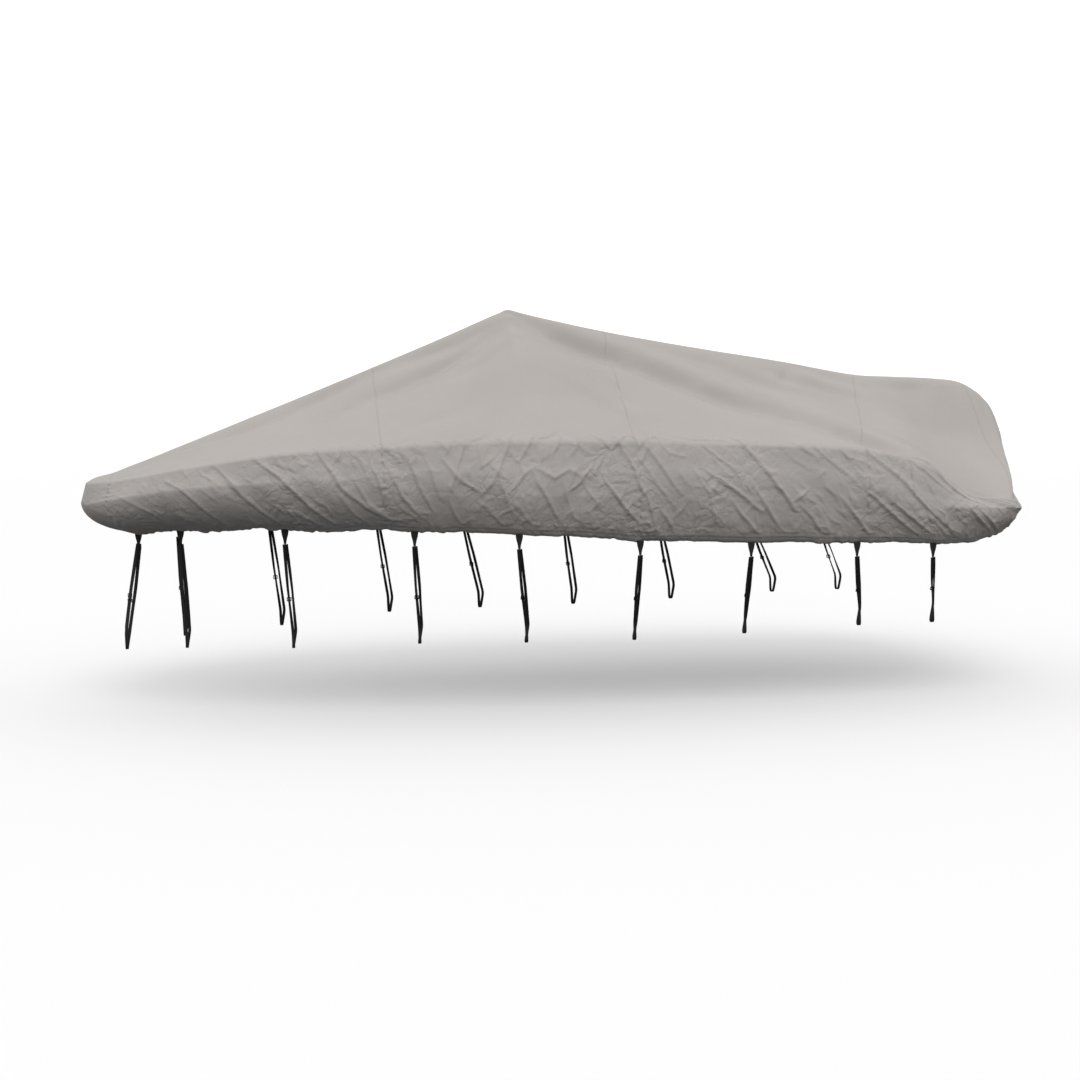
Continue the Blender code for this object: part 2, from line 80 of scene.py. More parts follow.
SECTION_COLUMNS = ("ridge_x", "ridge_z", "gunwale_x", "gunwale_y", "gunwale_z",
                   "rail_x", "rail_y", "rail_z", "hem_x", "hem_y", "hem_z", "tuck", "hood", "bow")
SECTIONS = {
    "bow": (-2.7, -1.1, -2.852, 0, -1.15, -2.888, 0, -1.285, -2.56, 0, -1.48, .8, 0, 0),
    "bow_round": (-2.695, -1.098, -2.812, .19, -1.143, -2.84, .218, -1.275, -2.545, .05, -1.48, .8, 0, 0),
    "nose_seam": (-2.68, -1.092, -2.695, .34, -1.124, -2.718, .395, -1.245, -2.5, .11, -1.48, .82, 0, 0),
    "flare": (-2.4, -.985, -2.4, .6, -1.057, -2.43, .645, -1.18, -2.3, .28, -1.46, .76, 0, 0),
    "foredeck": (-2.05, -.842, -2.05, .8, -.985, -2.06, .85, -1.135, -2, .49, -1.442, .7, 0, 0),
    "forward": (-1.6, -.662, -1.6, .965, -.918, -1.61, 1.01, -1.105, -1.56, .73, -1.427, .66, 0, 0),
    "fore_seam": (-.946, -.397, -1.02, 1.09, -.878, -1.01, 1.14, -1.085, -.97, .94, -1.42, .62, 0, 0),
    "fore_peak": (-.45, -.19, -.5, 1.135, -.853, -.5, 1.2, -1.083, -.5, 1.03, -1.432, .6, 0, 0),
    "before_peak": (-.06, -.022, -.12, 1.155, -.846, -.12, 1.215, -1.088, -.12, 1.085, -1.448, .6, 0, 0),
    "peak": (0, 0, -.03, 1.158, -.846, -.03, 1.217, -1.088, -.03, 1.09, -1.452, .6, 0, 0),
    "after_peak": (.09, -.022, .05, 1.16, -.846, .05, 1.22, -1.089, .05, 1.095, -1.457, .6, 0, 0),
    "mid_seam": (.67, -.146, .597, 1.17, -.846, .62, 1.23, -1.098, .653, 1.115, -1.499, .6, 0, 0),
    "midships": (1.4, -.27, 1.3, 1.17, -.877, 1.32, 1.23, -1.118, 1.35, 1.118, -1.525, .6, 0, 0),
    "quarter": (2, -.362, 1.8, 1.161, -.896, 1.8, 1.22, -1.138, 1.8, 1.11, -1.538, .6, .05, 0),
    "aft_seam": (2.515, -.452, 2.18, 1.15, -.93, 2.18, 1.21, -1.172, 2.15, 1.105, -1.546, .58, .2, 0),
    "well": (2.8, -.468, 2.5, 1.138, -.98, 2.5, 1.195, -1.235, 2.48, 1.09, -1.555, .56, .4, 0),
    "dart": (2.98, -.475, 2.8, 1.11, -1.15, 2.8, 1.17, -1.315, 2.78, 1.07, -1.566, .54, .55, .02),
    "haunch": (3.16, -.485, 3.07, 1.08, -1.262, 3.08, 1.13, -1.32, 3.05, 1, -1.57, .38, .65, .06),
    "corner": (3.31, -.503, 3.27, 1.05, -1.262, 3.322, 1.068, -1.335, 3.24, .91, -1.52, .22, .7, .08),
    "transom": (3.39, -.545, 3.345, .86, -1.185, 3.39, .865, -1.33, 3.29, .8, -1.505, .3, .7, .08),
    "well_edge": (3.46, -.6, 3.435, .58, -1.092, 3.46, .585, -1.32, 3.43, .57, -1.49, .58, .6, .06),
    "arch_foot": (3.535, -.675, 3.492, .37, -1, 3.505, .36, -1.15, 3.49, .325, -1.31, .55, .3, .03),
    "arch_side": (3.585, -.745, 3.575, .21, -.88, 3.59, .195, -.945, 3.592, .17, -1.02, .55, .1, 0),
    "stern": (3.608, -.785, 3.632, 0, -.85, 3.645, 0, -.9, 3.655, 0, -.948, .55, 0, 0),
}
RAIL_ROUND = (0.30, 0.25)   # across, how far before and after the rub rail its crease is rounded
RAIL_SOFTNESS = ((-2.4, 0.22), (-1.2, 0.45), (-0.6, 1.0), (1.9, 1.0), (2.7, 0.30), (3.3, 0.12))  # x, share
SKIN_LENGTHS = (0.0, 1.25, 1.50, 1.92)     # metres from the ridge to each line amidships

# x and place across of the start, the same of the end, then width and depth of each main fold
MAIN_FOLDS = (
    (-1.95, .55, -0.15, .12, .10, .010),
    (-1.05, .30, -0.10, .16, .07, .007),
    (0.12, .10, 0.95, .34, .09, .014),
    (0.95, .34, 1.75, .72, .12, .022),
    (1.75, .72, 2.45, .97, .11, .020),
    (1.15, .18, 2.05, .42, .10, .010),
    (2.55, .98, 3.20, 2.6, .10, -.020),
    (2.85, .90, 3.26, 2.2, .09, .016),
    (-2.10, 1.1, -1.72, 2.5, .09, .012),
    (-1.62, 1.1, -1.15, 2.6, .09, -.012),
    (-1.05, 1.1, -0.62, 2.6, .09, .012),
    (-0.45, 1.1, -0.12, 2.6, .10, -.010),
    (0.45, 1.1, 0.10, 2.6, .10, .012),
    (0.75, 1.1, 1.15, 2.6, .10, -.012),
    (1.55, 1.1, 2.05, 2.6, .10, .013),
    (2.05, 1.1, 2.65, 2.6, .10, -.014),
)
SIDE_SHIFT = {-1: 0.0, 1: 0.17}     # of each side's folds and wrinkles along the boat

STRAP_COLUMNS = ("hem_x", "foot_x", "foot_y", "foot_z")
STRAPS = (
    (-2.52, -2.61, 0.12, -2.255),
    (-2.25, -2.22, 0.27, -2.235),
    (-1.60, -1.54, 0.52, -2.220),
    (-0.80, -0.74, 0.76, -2.180),
    (-0.14, -0.05, 0.86, -2.180),
    (0.65, 0.67, 0.90, -2.180),
    (1.40, 1.43, 0.90, -2.160),
    (2.14, 2.24, 0.90, -2.130),
    (2.69, 2.77, 0.90, -2.125),
)

# ---------------------------------------------------------------- sizes of the looks alone

CLOTH_THICKNESS = 0.0018
GUNWALE_ROUND = (0.030, 0.08)   # like RAIL_ROUND, crisper than the solids can be
COLUMN_PITCH = 0.0092       # of the fine cloth's columns, along the rub rail
TOP_ROWS = 68
SKIRT_ROWS = 74
CASING_ROWS = 9
SKIRT_START = 0.92          # across: below this the cloth's rows are finer and it is slack
CASING_WIDTH = 0.042        # of the hem that holds the elastic
CASING_BULGE = 0.0035       # how far it stands out
HEM_TURN = 0.028            # how far the elastic draws the hem in
STITCH_SINK = 0.0016        # how deep the line of stitches above the hem's casing is drawn in
STITCH_WIDTH = 0.0045
GATHER_REACH = 0.16         # how far up the skirt the elastic's gathers go
PUCKER_HEIGHT = 0.0045      # of the gathers beside a seam
PUCKER_REACH = 0.03
TAB_LAYER = 0.0011
TAB_POINTS = 61             # down the front layer and up the back one
STRAP_TWIST = 0.7           # radians, the most that a strap's runs turn
ROUTE_PITCH = 0.008         # between the points of a strap's middle line
ROUTE_ROUNDS = 6            # of averaging, which round its corners
SEAM_WIDTH = 0.014
SEAM_HEIGHT = 0.0006        # that the shares of SEAM_PROFILE are multiplied by
SEAM_TAPE = 0.0008          # thickness of the folded cloth that stands on a seam
SEAM_SINK = 0.0003          # how deep its edges lie in the cloth
RIDGE_WELD = 0.00002
SEAM_PROFILE = ((-0.50, 0.0), (-0.45, 0.8), (-0.36, 1.0), (-0.26, 0.8), (-0.12, 1.0), (0.0, 1.0),
                (0.12, 1.0), (0.26, 0.8), (0.36, 1.0), (0.45, 0.8), (0.50, 0.0))  # shares across and up
DART_PLACE = 5.86           # of the short seam near the stern, along the rub rail
DART_REACH = (1.06, 2.05)   # and across the skin
RELAX_ROUNDS = 110          # of moving the slack cloth's points
CLOTH_STIFFNESS = 0.006     # share of each sharp bend that is eased in a round
DIAGONAL_PULL = 0.7         # the cloth's diagonals are softer than its threads, which pull with 1
SLACK_HOLD = 0.001          # share of a wrinkle that is drawn back to the main form in a round
SLACK_REACH = (-0.022, 0.022)   # how far a wrinkle may stand in or out of the main form

# where along the boat, the lie of the wrinkles (degrees, 0 along the hem, 90 straight down, below
# 90 leaning to the stern), and the spare cloth across and along the wrinkles as shares of the length
SLACK_COLUMNS = ("x", "lie", "spare_across", "spare_along")
SLACK = (
    (-3.20, 60, .004, .000),
    (-2.70, 48, .010, .001),
    (-1.90, 50, .022, .002),
    (-1.00, 48, .024, .006),
    (-0.30, 60, .022, .014),
    (0.60, 85, .024, .016),
    (1.20, 50, .026, .008),
    (2.00, 42, .026, .004),
    (2.60, 48, .030, .006),
    (3.20, 70, .030, .010),
    (3.70, 88, .020, .008),
)
SLACK_TABLE = dict(zip(SLACK_COLUMNS, np.array(SLACK).T))

CAMERA_PLACE = (-2.522, -12.925, -0.240)
CAMERA_TURN = 12.0          # degrees to the stern of square on
CAMERA_TILT = 5.86          # degrees below the horizon
LENS = 63.33
GROUND = -2.64              # the floor under the trailer's wheels
# light of the room by height of view, 0 straight down, 0.5 level and 1 straight up
ROOM_LIGHT = ((0.01, 0.04), (0.28, 0.09), (0.46, 0.38), (0.53, 0.70), (0.99, 0.86))
SOFT_LIGHT_STRENGTH = 0.90
SOFT_LIGHT_SPREAD = 35.0    # degrees across
SOFT_LIGHT_TURN = (0.62, -0.10, 0.0)

# the near side's wrinkles: places along the rub rail from the bow (metres) and across the skin of
# the start, bend and end of each crest, then its half width and how far it stands out
WRINKLES = (
    (1.28, 1.2, 1.43, 2.11, 1.68, 2.77, .034, .009),
    (1.52, 1.04, 1.79, 2.14, 2.04, 2.8, .036, .01),
    (1.56, 1.27, 1.64, 1.58, 1.73, 1.81, .016, .004),
    (1.77, 2.45, 1.85, 2.61, 1.92, 2.77, .018, .005),
    (1.93, 1.04, 2.08, 2.09, 2.34, 2.66, .034, .01),
    (2.03, 1.43, 2.07, 1.2, 2.1, .96, .018, .005),
    (2.16, 1.96, 2.24, 2.36, 2.36, 2.66, .026, .007),
    (2.26, 1.39, 2.32, 2.04, 2.35, 2.48, .026, .006),
    (2.4, 1.85, 2.46, 2.27, 2.58, 2.64, .03, .008),
    (2.51, 1.43, 2.56, 2.07, 2.65, 2.52, .028, .008),
    (2.6, 1.27, 2.65, 1.88, 2.69, 2.27, .024, .006),
    (2.71, 1.39, 2.79, 1.85, 2.95, 2.18, .026, .008),
    (2.86, 1., 2.82, 1.46, 2.79, 1.85, .024, .007),
    (2.79, 1.85, 2.76, 2.07, 2.75, 2.27, .022, .005),
    (2.94, 1.04, 2.96, 1.66, 3.05, 1.39, .018, .006),
    (3.16, .96, 3.06, 1.77, 2.96, 2.23, .026, .008),
    (3.06, 1.77, 3.1, 2.18, 3.14, 2.48, .024, .008),
    (3.31, .96, 3.2, 1.5, 3.22, 1.85, .02, .006),
    (3.3, 1.66, 3.22, 1.85, 3.13, 2.18, .022, .006),
    (3.28, 1.77, 3.37, 2.25, 3.47, 2.7, .026, .008),
    (3.31, 1.69, 3.42, 1.92, 3.52, 1.73, .018, .007),
    (3.49, .96, 3.44, 1.2, 3.41, 1.35, .016, .005),
    (3.58, .96, 3.6, 1.16, 3.62, 1.27, .014, .004),
    (3.66, 1.69, 3.56, 2.07, 3.5, 2.18, .02, .006),
    (3.62, 2.07, 3.66, 2.23, 3.71, 2.34, .018, .005),
    (3.48, 2., 3.5, 2.25, 3.54, 2.5, .02, .005),
    (3.75, 1.96, 3.86, 2.34, 3.97, 2.64, .028, .008),
    (3.7, .96, 3.81, 1.23, 3.95, .96, .016, .006),
    (3.52, 1.73, 3.56, 1.81, 3.61, 1.88, .016, .005),
    (2.75, 2.32, 2.79, 2.57, 2.85, 2.82, .022, .005),
    (2.99, 2.48, 3.06, 2.64, 3.11, 2.8, .02, .005),
    (3.19, 2.41, 3.24, 2.59, 3.29, 2.75, .02, .005),
    (3.75, 1.16, 3.84, 1.08, 3.91, 1.16, .014, .005),
    (3.96, .96, 4., 1.16, 4.12, .96, .014, .006),
    (4.05, 1.16, 4.15, 1.77, 4.25, 2.18, .026, .008),
    (3.99, 1.46, 4.08, 2., 4.2, 2.36, .024, .006),
    (3.96, 1.96, 4.03, 2.27, 4.09, 2.82, .024, .006),
    (4.44, 1.77, 4.58, 2.04, 4.79, 2.41, .028, .009),
    (4.61, 2.34, 4.71, 2.61, 4.79, 2.84, .026, .008),
    (4.35, 1.77, 4.44, 2.16, 4.48, 2.61, .024, .005),
    (4.62, .93, 4.83, 1.69, 5.02, 2.34, .028, .008),
    (4.73, 2.02, 4.84, 2.39, 4.93, 2.7, .028, .009),
    (4.83, 1.73, 4.94, 2.11, 5.02, 2.39, .02, .006),
    (5.03, 2.25, 5.12, 2.07, 5.06, 1.96, .016, .005),
    (5.36, 1.2, 5.46, 1.31, 5.56, 1.35, .016, .004),
    (5.33, 2.14, 5.45, 2.43, 5.6, 2.82, .026, .007),
    (5.53, 2.04, 5.7, 2.34, 5.9, 2.7, .028, .009),
    (5.52, 1., 5.81, 1.73, 6.23, 2.64, .034, .009),
    (5.67, .89, 6.08, 1.08, 6.44, 1.85, .026, .01),
    (5.7, 2.14, 5.89, 2.45, 6.04, 2.7, .022, .007),
    (6.01, 2.32, 6.07, 2.48, 6.15, 2.7, .018, .005),
    (4.19, 1.31, 4.23, 1.35, 4.3, 1.39, .014, .004),
    (6.28, 1.96, 6.4, 2.41, 6.53, 2.77, .02, .007),
    (6.37, 2.07, 6.5, 2.5, 6.59, 2.8, .016, .006),
    (4.12, .96, 4.16, 1.16, 4.19, 1.31, .014, .005),
    (3.88, 1.16, 3.95, 1.73, 3.99, 2.16, .022, .006),
    (4.42, 1.04, 4.55, 1.5, 4.63, 1.69, .018, .004),
    (4.11, 2.43, 4.17, 2.61, 4.19, 2.84, .02, .005),
    (5.07, 2.32, 5.16, 2.52, 5.24, 2.8, .022, .005),
    (2.1, 2.36, 2.14, 2.52, 2.2, 2.7, .018, .004),
    (5.16, 1., 5.33, 1.54, 5.48, 1.96, .024, .005),
    (5.82, 1., 6., 1.27, 6.15, 1.5, .018, .006),
    (.57, 1.92, .8, 2.32, .95, 2.73, .03, .005),
    (.92, 1.5, 1.14, 2.2, 1.36, 2.82, .034, .007),
)
# the same for the troughs of the top, which stand out by less than nothing
TOP_TROUGHS = (
    (1.19, .2, 1.58, .22, 2.11, .08, .036, -.009),
    (1.85, .12, 2.33, .05, 2.86, .1, .032, -.008),
    (2.6, .09, 3.02, .11, 3.27, .09, .026, -.007),
    (2.25, .37, 2.56, .31, 2.91, .23, .036, -.012),
    (2.71, .28, 3.03, .19, 3.29, .13, .028, -.009),
    (2.79, .42, 3.08, .35, 3.31, .25, .028, -.006),
    (2.87, .36, 3., .32, 3.1, .27, .02, -.004),
    (1.85, .58, 2.06, .46, 2.22, .38, .024, -.004),
    (3.36, .04, 3.65, .14, 4.03, .22, .034, -.014),
    (3.7, .14, 4.1, .23, 4.55, .37, .04, -.015),
    (4.2, .26, 4.59, .42, 5., .56, .042, -.016),
    (4.7, .47, 5.1, .61, 5.48, .76, .036, -.012),
    (5.22, .68, 5.57, .81, 5.92, .95, .03, -.009),
    (3.37, .12, 3.57, .22, 3.93, .33, .028, -.007),
    (4.35, .1, 4.69, .16, 5., .28, .03, -.007),
    (4.82, .24, 5.12, .33, 5.32, .38, .026, -.006),
    (5.05, .17, 5.26, .23, 5.58, .29, .026, -.007),
    (5.21, .02, 5.36, .09, 5.55, .14, .024, -.006),
    (5.2, .05, 5.15, .17, 5.09, .28, .018, -.004),
    (3.83, .42, 3.93, .51, 4.04, .68, .022, -.004),
    (3.99, .89, 4.08, .98, 4.22, 1.05, .014, -.003),
    (5.43, .73, 5.66, .85, 5.91, 1.02, .02, -.007),
    (5.54, .65, 5.77, .78, 6.08, .88, .018, -.005),
    (5.7, .14, 6.02, .15, 6.35, .12, .036, -.008),
    (1.46, .66, 1.79, .54, 2.12, .39, .032, -.004),
    (3.57, .53, 3.82, .68, 4.05, .89, .028, -.004),
    (4.62, .21, 4.84, .39, 5., .5, .024, -.004),
    (4.14, .94, 4.36, .99, 4.59, 1.02, .014, -.002),
    (2.9, 1.04, 2.95, .99, 3.01, .95, .012, -.002),
    (3.35, 1.03, 3.4, .98, 3.48, .94, .012, -.002),
    (2.4, 1.02, 2.46, .97, 2.54, .93, .012, -.002),
    (2.48, .82, 2.74, .75, 3.01, .65, .028, -.003),
)
# what the tables' heights and widths are multiplied by
TROUGH_SIZE = 4.2
TROUGH_WIDTH = 1.75
WRINKLE_SIZE = 1.5
WRINKLE_WIDTH = 0.52
SMALL_WRINKLES = 420        # random ones on each side's skirt
SIDE_SEED = {-1: 11, 1: 47}

PANELS = (  # name, first section, last section, cut width across the boat, cut length along it
    ("nose_cap", "bow", "nose_seam", 1.00, 0.50),
    ("fore_panel", "nose_seam", "fore_seam", 3.30, 1.85),
    ("mid_panel", "fore_seam", "mid_seam", 4.20, 1.66),
    ("aft_panel", "mid_seam", "aft_seam", 3.90, 1.80),
    ("stern_panel", "aft_seam", "corner", 3.60, 1.20),
    ("transom_panel", "corner", "stern", 2.20, 0.56),
)


# ---------------------------------------------------------------- the skin

def lengths_along(line):
    """Distance of each point of a line from its start, by way of the points between."""
    return np.concatenate([[0.0], np.cumsum(np.linalg.norm(np.diff(line, axis=0), axis=1))])


def section_lines():
    """The sections' columns by name, and each section's distance along the rub rail from the bow."""
    table = np.array(list(SECTIONS.values()))
    column = dict(zip(SECTION_COLUMNS, table.T))
    rail = np.stack([column["rail_x"], column["rail_y"], column["rail_z"]], axis=1)
    return column, lengths_along(rail)


COLUMN, ALONG = section_lines()


def smooth(values, at):
    """A cubic curve through the sections' values: its slope at each section is the neighbours' slope."""
    slope = np.gradient(values, ALONG)
    k = np.clip(np.searchsorted(ALONG, at, side="right") - 1, 0, len(ALONG) - 2)
    span = ALONG[k + 1] - ALONG[k]
    t = (at - ALONG[k]) / span
    return ((1 + 2 * t) * (1 - t) ** 2 * values[k] + t * (1 - t) ** 2 * span * slope[k]
            + t * t * (3 - 2 * t) * values[k + 1] - t * t * (1 - t) * span * slope[k + 1])


def along_of(section):
    """Distance along the rub rail of a named section."""
    return ALONG[list(SECTIONS).index(section)]


def mix(a, b, t):
    """Straight blend from a to b."""
    return a + (b - a) * t


def bare_skin(along, across):
    """The skin's underside with no folds, on the side +Y, for every pair of along and across.

    From ridge to gunwale the section falls like a hyperbola, so the ridge is round and the sides
    straight, and near the motor it falls like a bell round the motor's half width instead. From the
    gunwale to the rub rail it is straight, and the skirt below is a quadratic curve that hangs down
    and turns in. Both creases are rounded by a quadratic curve with the crease as its control point.
    """
    line = {name: smooth(values, along)[:, None] for name, values in COLUMN.items()}
    gunwale = np.stack([line["gunwale_x"], line["gunwale_y"], line["gunwale_z"]], axis=-1)
    rail = np.stack([line["rail_x"], line["rail_y"], line["rail_z"]], axis=-1)
    hem = np.stack([line["hem_x"], line["hem_y"], line["hem_z"]], axis=-1)
    hang = mix(rail, hem, HANG_LEAN)
    hang[..., 2] = mix(rail[..., 2], hem[..., 2], line["tuck"])

    def top(q):
        y = line["gunwale_y"] * q
        radius = PEAK_RADIUS + HOOD_ROUNDING * line["hood"]
        whole = np.maximum(np.hypot(line["gunwale_y"], radius) - radius, 1e-6)
        tent = (np.hypot(y, radius) - radius) / whole
        tent = np.where(line["gunwale_y"] > 0.02, tent, q)
        bell = 1 - np.exp(-(y / HOOD_HALF_WIDTH) ** HOOD_POWER)
        sag = TOP_SAG * tent * (1 - tent) * (line["gunwale_y"] > SAG_HALF_WIDTH)
        drop = mix(mix(tent + sag, bell, line["hood"] * (1 - q ** 2)), tent, line["hood"] * HOOD_TENT_SHARE)
        x = mix(line["ridge_x"], line["gunwale_x"], q) + line["bow"] * 4 * q * (1 - q)
        z = mix(line["ridge_z"], line["gunwale_z"], drop)
        return np.stack([x, y, z], axis=-1)

    def band(q):
        return mix(gunwale, rail, q[..., None])

    def skirt(q):
        q = q[..., None]
        return (1 - q) ** 2 * rail + 2 * q * (1 - q) * hang + q * q * hem

    s = across[None, :]
    before, after = GUNWALE_ROUND
    point = np.where((s < 1)[..., None], top(np.minimum(s, 1.0)),
                     np.where((s < 2)[..., None], band(np.clip(s - 1, 0, 1)), skirt(np.clip(s - 2, 0, 1))))
    one = np.ones_like(s)
    t = ((s - (1 - before)) / (before + after))[..., None]
    crease = (1 - t) ** 2 * top(one - before) + 2 * t * (1 - t) * gunwale + t * t * band(one * after)
    point = np.where(((t > 0) & (t < 1)), crease, point)
    softness = np.interp(line["rail_x"], *np.array(RAIL_SOFTNESS).T)
    before, after = RAIL_ROUND[0] * softness, RAIL_ROUND[1] * softness
    t = ((s - (2 - before)) / (before + after))[..., None]
    edge = (1 - t) ** 2 * band(one - before) + 2 * t * (1 - t) * rail + t * t * skirt(one * after)
    return np.where(((t > 0) & (t < 1)), edge, point)


def outward(along, across):
    """Unit normals of the bare skin, away from the boat: the cross product of its slopes both ways."""
    lower, upper = np.clip(along - SLOPE_STEP, 0, ALONG[-1]), np.clip(along + SLOPE_STEP, 0, ALONG[-1])
    inner, outer = np.clip(across - SLOPE_STEP, 0, 3), np.clip(across + SLOPE_STEP, 0, 3)
    normal = np.cross(bare_skin(upper, across) - bare_skin(lower, across),
                      bare_skin(along, outer) - bare_skin(along, inner))
    length = np.linalg.norm(normal, axis=-1, keepdims=True)
    return np.where(length > 1e-9, normal / np.maximum(length, 1e-9), np.array([0.0, 0.0, 1.0]))


def metres_across(across):
    """Distance from the ridge of a place across the skin."""
    return np.interp(across, (0, 1, 2, 3), SKIN_LENGTHS)


def beside(u, v, start, run):
    """Where a run is nearest to each place, as a share of it, with the distance and the side it is on."""
    a, b = u - start[0], v - start[1]
    share = np.clip((a * run[0] + b * run[1]) / (run @ run), 0, 1)
    return share, np.hypot(a - share * run[0], b - share * run[1]), b * run[0] - a * run[1]


def crease_sum(u, v, creases):
    """How far a set of straight creases press in or lift the cloth at places u (along), v (down).

    Each crease is a row of start u, v, end u, v, width and depth. Across it the cloth falls off as
    the exponential of minus the square of the distance over the width, and it fades at the ends.
    """
    depth = np.zeros_like(u)
    for u0, v0, u1, v1, width, deep in creases:
        reach = 3.0 * width
        near_u = (u > min(u0, u1) - reach) & (u < max(u0, u1) + reach)
        near = near_u & (v > min(v0, v1) - reach) & (v < max(v0, v1) + reach)
        share, away, _ = beside(u[near], v[near], (u0, v0), np.array([u1 - u0, v1 - v0]))
        depth[near] += deep * np.sin(np.pi * (0.15 + 0.7 * share)) * np.exp(-(away / width) ** 2.0)
    return depth


def skin_depth(along, across, side):
    """How deep the solids' folds and the skirt's slow sine wave press the skin in, in metres."""
    shift = SIDE_SHIFT[side]
    u, v = np.meshgrid(smooth(COLUMN["rail_x"], along), metres_across(across), indexing="ij")
    folds = [(a + shift, metres_across(b), c + shift, metres_across(d), width, deep)
             for a, b, c, d, width, deep in MAIN_FOLDS]
    wave = WAVE_DEPTH * np.sin(along * WAVE_TURNS + shift * 20)[:, None]
    wave = wave * np.clip(across - 1.2, 0, 1.8)[None, :]
    wave = wave * np.clip(along / 0.4, 0, 1)[:, None] * np.clip((ALONG[-1] - along) / 0.6, 0, 1)[:, None]
    ends = np.minimum(along / 0.3, (ALONG[-1] - along) / 0.5).clip(0, 1)[:, None]
    centre = np.clip(across / 0.08, 0, 1)[None, :]
    return (crease_sum(u, v, folds) + wave) * ends * centre


def skin(along, across, side):
    """The finished skin's underside; side is -1 for the near side and 1 for the far side."""
    point = bare_skin(along, across) - outward(along, across) * skin_depth(along, across, side)[..., None]
    point[..., 1] *= side
    return point


# ---------------------------------------------------------------- slack cloth

def lattice_noise(u, v, size_u, size_v, seed):
    """Random heights from -1 to 1 on a lattice of size_u by size_v, blended by a smooth step."""
    lattice = np.random.default_rng(seed).uniform(-1, 1, (257, 65))
    a, b = u / size_u + 64, v / size_v + 8
    i, j = np.floor(a).astype(int), np.floor(b).astype(int)
    f, g = a - i, b - j
    f, g = f * f * (3 - 2 * f), g * g * (3 - 2 * g)
    i, j = i % 256, j % 64
    near, far = mix(lattice[i, j], lattice[i + 1, j], f), mix(lattice[i, j + 1], lattice[i + 1, j + 1], f)
    return mix(near, far, g)


def slack_at(x, values):
    """One value for each row of the slack table, carried straight from row to row."""
    return np.interp(x, SLACK_TABLE["x"], values)


def slack_strain(u, x, v, seed):
    """The spare cloth as a strain tensor (uu, uv, vv) at each place: spare across and along a lie.

    The lie wanders by a slow random angle, and the spare comes in random patches.
    """
    lie = np.radians(slack_at(x, SLACK_TABLE["lie"]))
    lie = lie + np.radians(38) * lattice_noise(u, v, 0.34, 0.22, seed)
    lie = lie + np.radians(16) * lattice_noise(u, v, 0.12, 0.10, seed + 1)
    patch = np.clip(0.95 + 0.75 * lattice_noise(u, v, 0.30, 0.24, seed + 2), 0.15, 2.0)
    across = slack_at(x, SLACK_TABLE["spare_across"]) * patch
    lengthwise = slack_at(x, SLACK_TABLE["spare_along"]) * patch
    c, s = np.cos(lie), np.sin(lie)
    return (across * s * s + lengthwise * c * c, (lengthwise - across) * s * c,
            across * c * c + lengthwise * s * s)


def crest_lift(u, v, crests, above=1.6, below=0.75, power=1.0):
    """Height of creases that run straight from their start to their bend and on to their end.

    Each falls away as the exponential of minus the distance over its width to the power, with the
    width's shares above and below it, and it fades at both ends.
    """
    lift = np.zeros_like(u)
    for row in crests:
        corner = np.array(row[:6]).reshape(3, 2)
        width, height = row[6:]
        reach = 3.5 * width
        low, high = corner.min(axis=0) - reach, corner.max(axis=0) + reach
        first, last = np.searchsorted(u[:, 0], (low[0], high[0]))
        near = (slice(first, last), slice(*np.searchsorted(v[0], (low[1], high[1]))))
        if u[near].size == 0:
            continue
        runs = np.linalg.norm(np.diff(corner, axis=0), axis=1)
        best = np.full(u[near].shape, 1e9)
        place, under = np.zeros_like(best), np.zeros_like(best)
        for k in (0, 1):
            run = corner[k + 1] - corner[k]
            share, away, side = beside(u[near], v[near], corner[k], run)
            closer = away < best
            place = np.where(closer, (runs[:k].sum() + share * runs[k]) / runs.sum(), place)
            under = np.where(closer, side * np.sign(run[0] + 1e-9), under)
            best = np.minimum(best, away)
        fade = np.sin(np.pi * (0.08 + 0.84 * place)) ** 0.7
        fall = width * np.where(under > 0, below, above)
        lift[near] += height * fade * np.exp(-(best / fall) ** power)
    return lift


def small_crests(u_end, seed, count):
    """Random short crests like (along, v, ...) rows: most lie as the slack does, some cross it."""
    rng = np.random.default_rng(seed)
    u = rng.uniform(0.7, u_end - 0.1, count)
    v = rng.uniform(SKIN_LENGTHS[1] + 0.01, SKIN_LENGTHS[3] - 0.05, count)
    x = smooth(COLUMN["rail_x"], u)
    mixed = slack_at(x, SLACK_TABLE["spare_along"] / SLACK_TABLE["spare_across"])
    lie = slack_at(x, SLACK_TABLE["lie"]) + rng.normal(0, 1, count) * (12 + 40 * mixed)
    lie = np.radians(np.where(rng.uniform(0, 1, count) < 0.5 * mixed, 180 - lie, lie))
    length = rng.uniform(0.05, 0.20, count) * rng.uniform(0.5, 1.0, count)
    bend = rng.normal(0, 0.22, count)
    rows = []
    for k in range(count):
        half = 0.5 * length[k]
        one = (half * math.cos(lie[k] - bend[k]), half * math.sin(lie[k] - bend[k]))
        two = (half * math.cos(lie[k] + bend[k]), half * math.sin(lie[k] + bend[k]))
        wide = 0.007 + 0.05 * length[k] + 0.004 * rng.uniform()
        rows.append((u[k] - one[0], v[k] - one[1], u[k], v[k], u[k] + two[0], v[k] + two[1],
                     wide, wide * rng.uniform(0.12, 0.30)))
    return rows


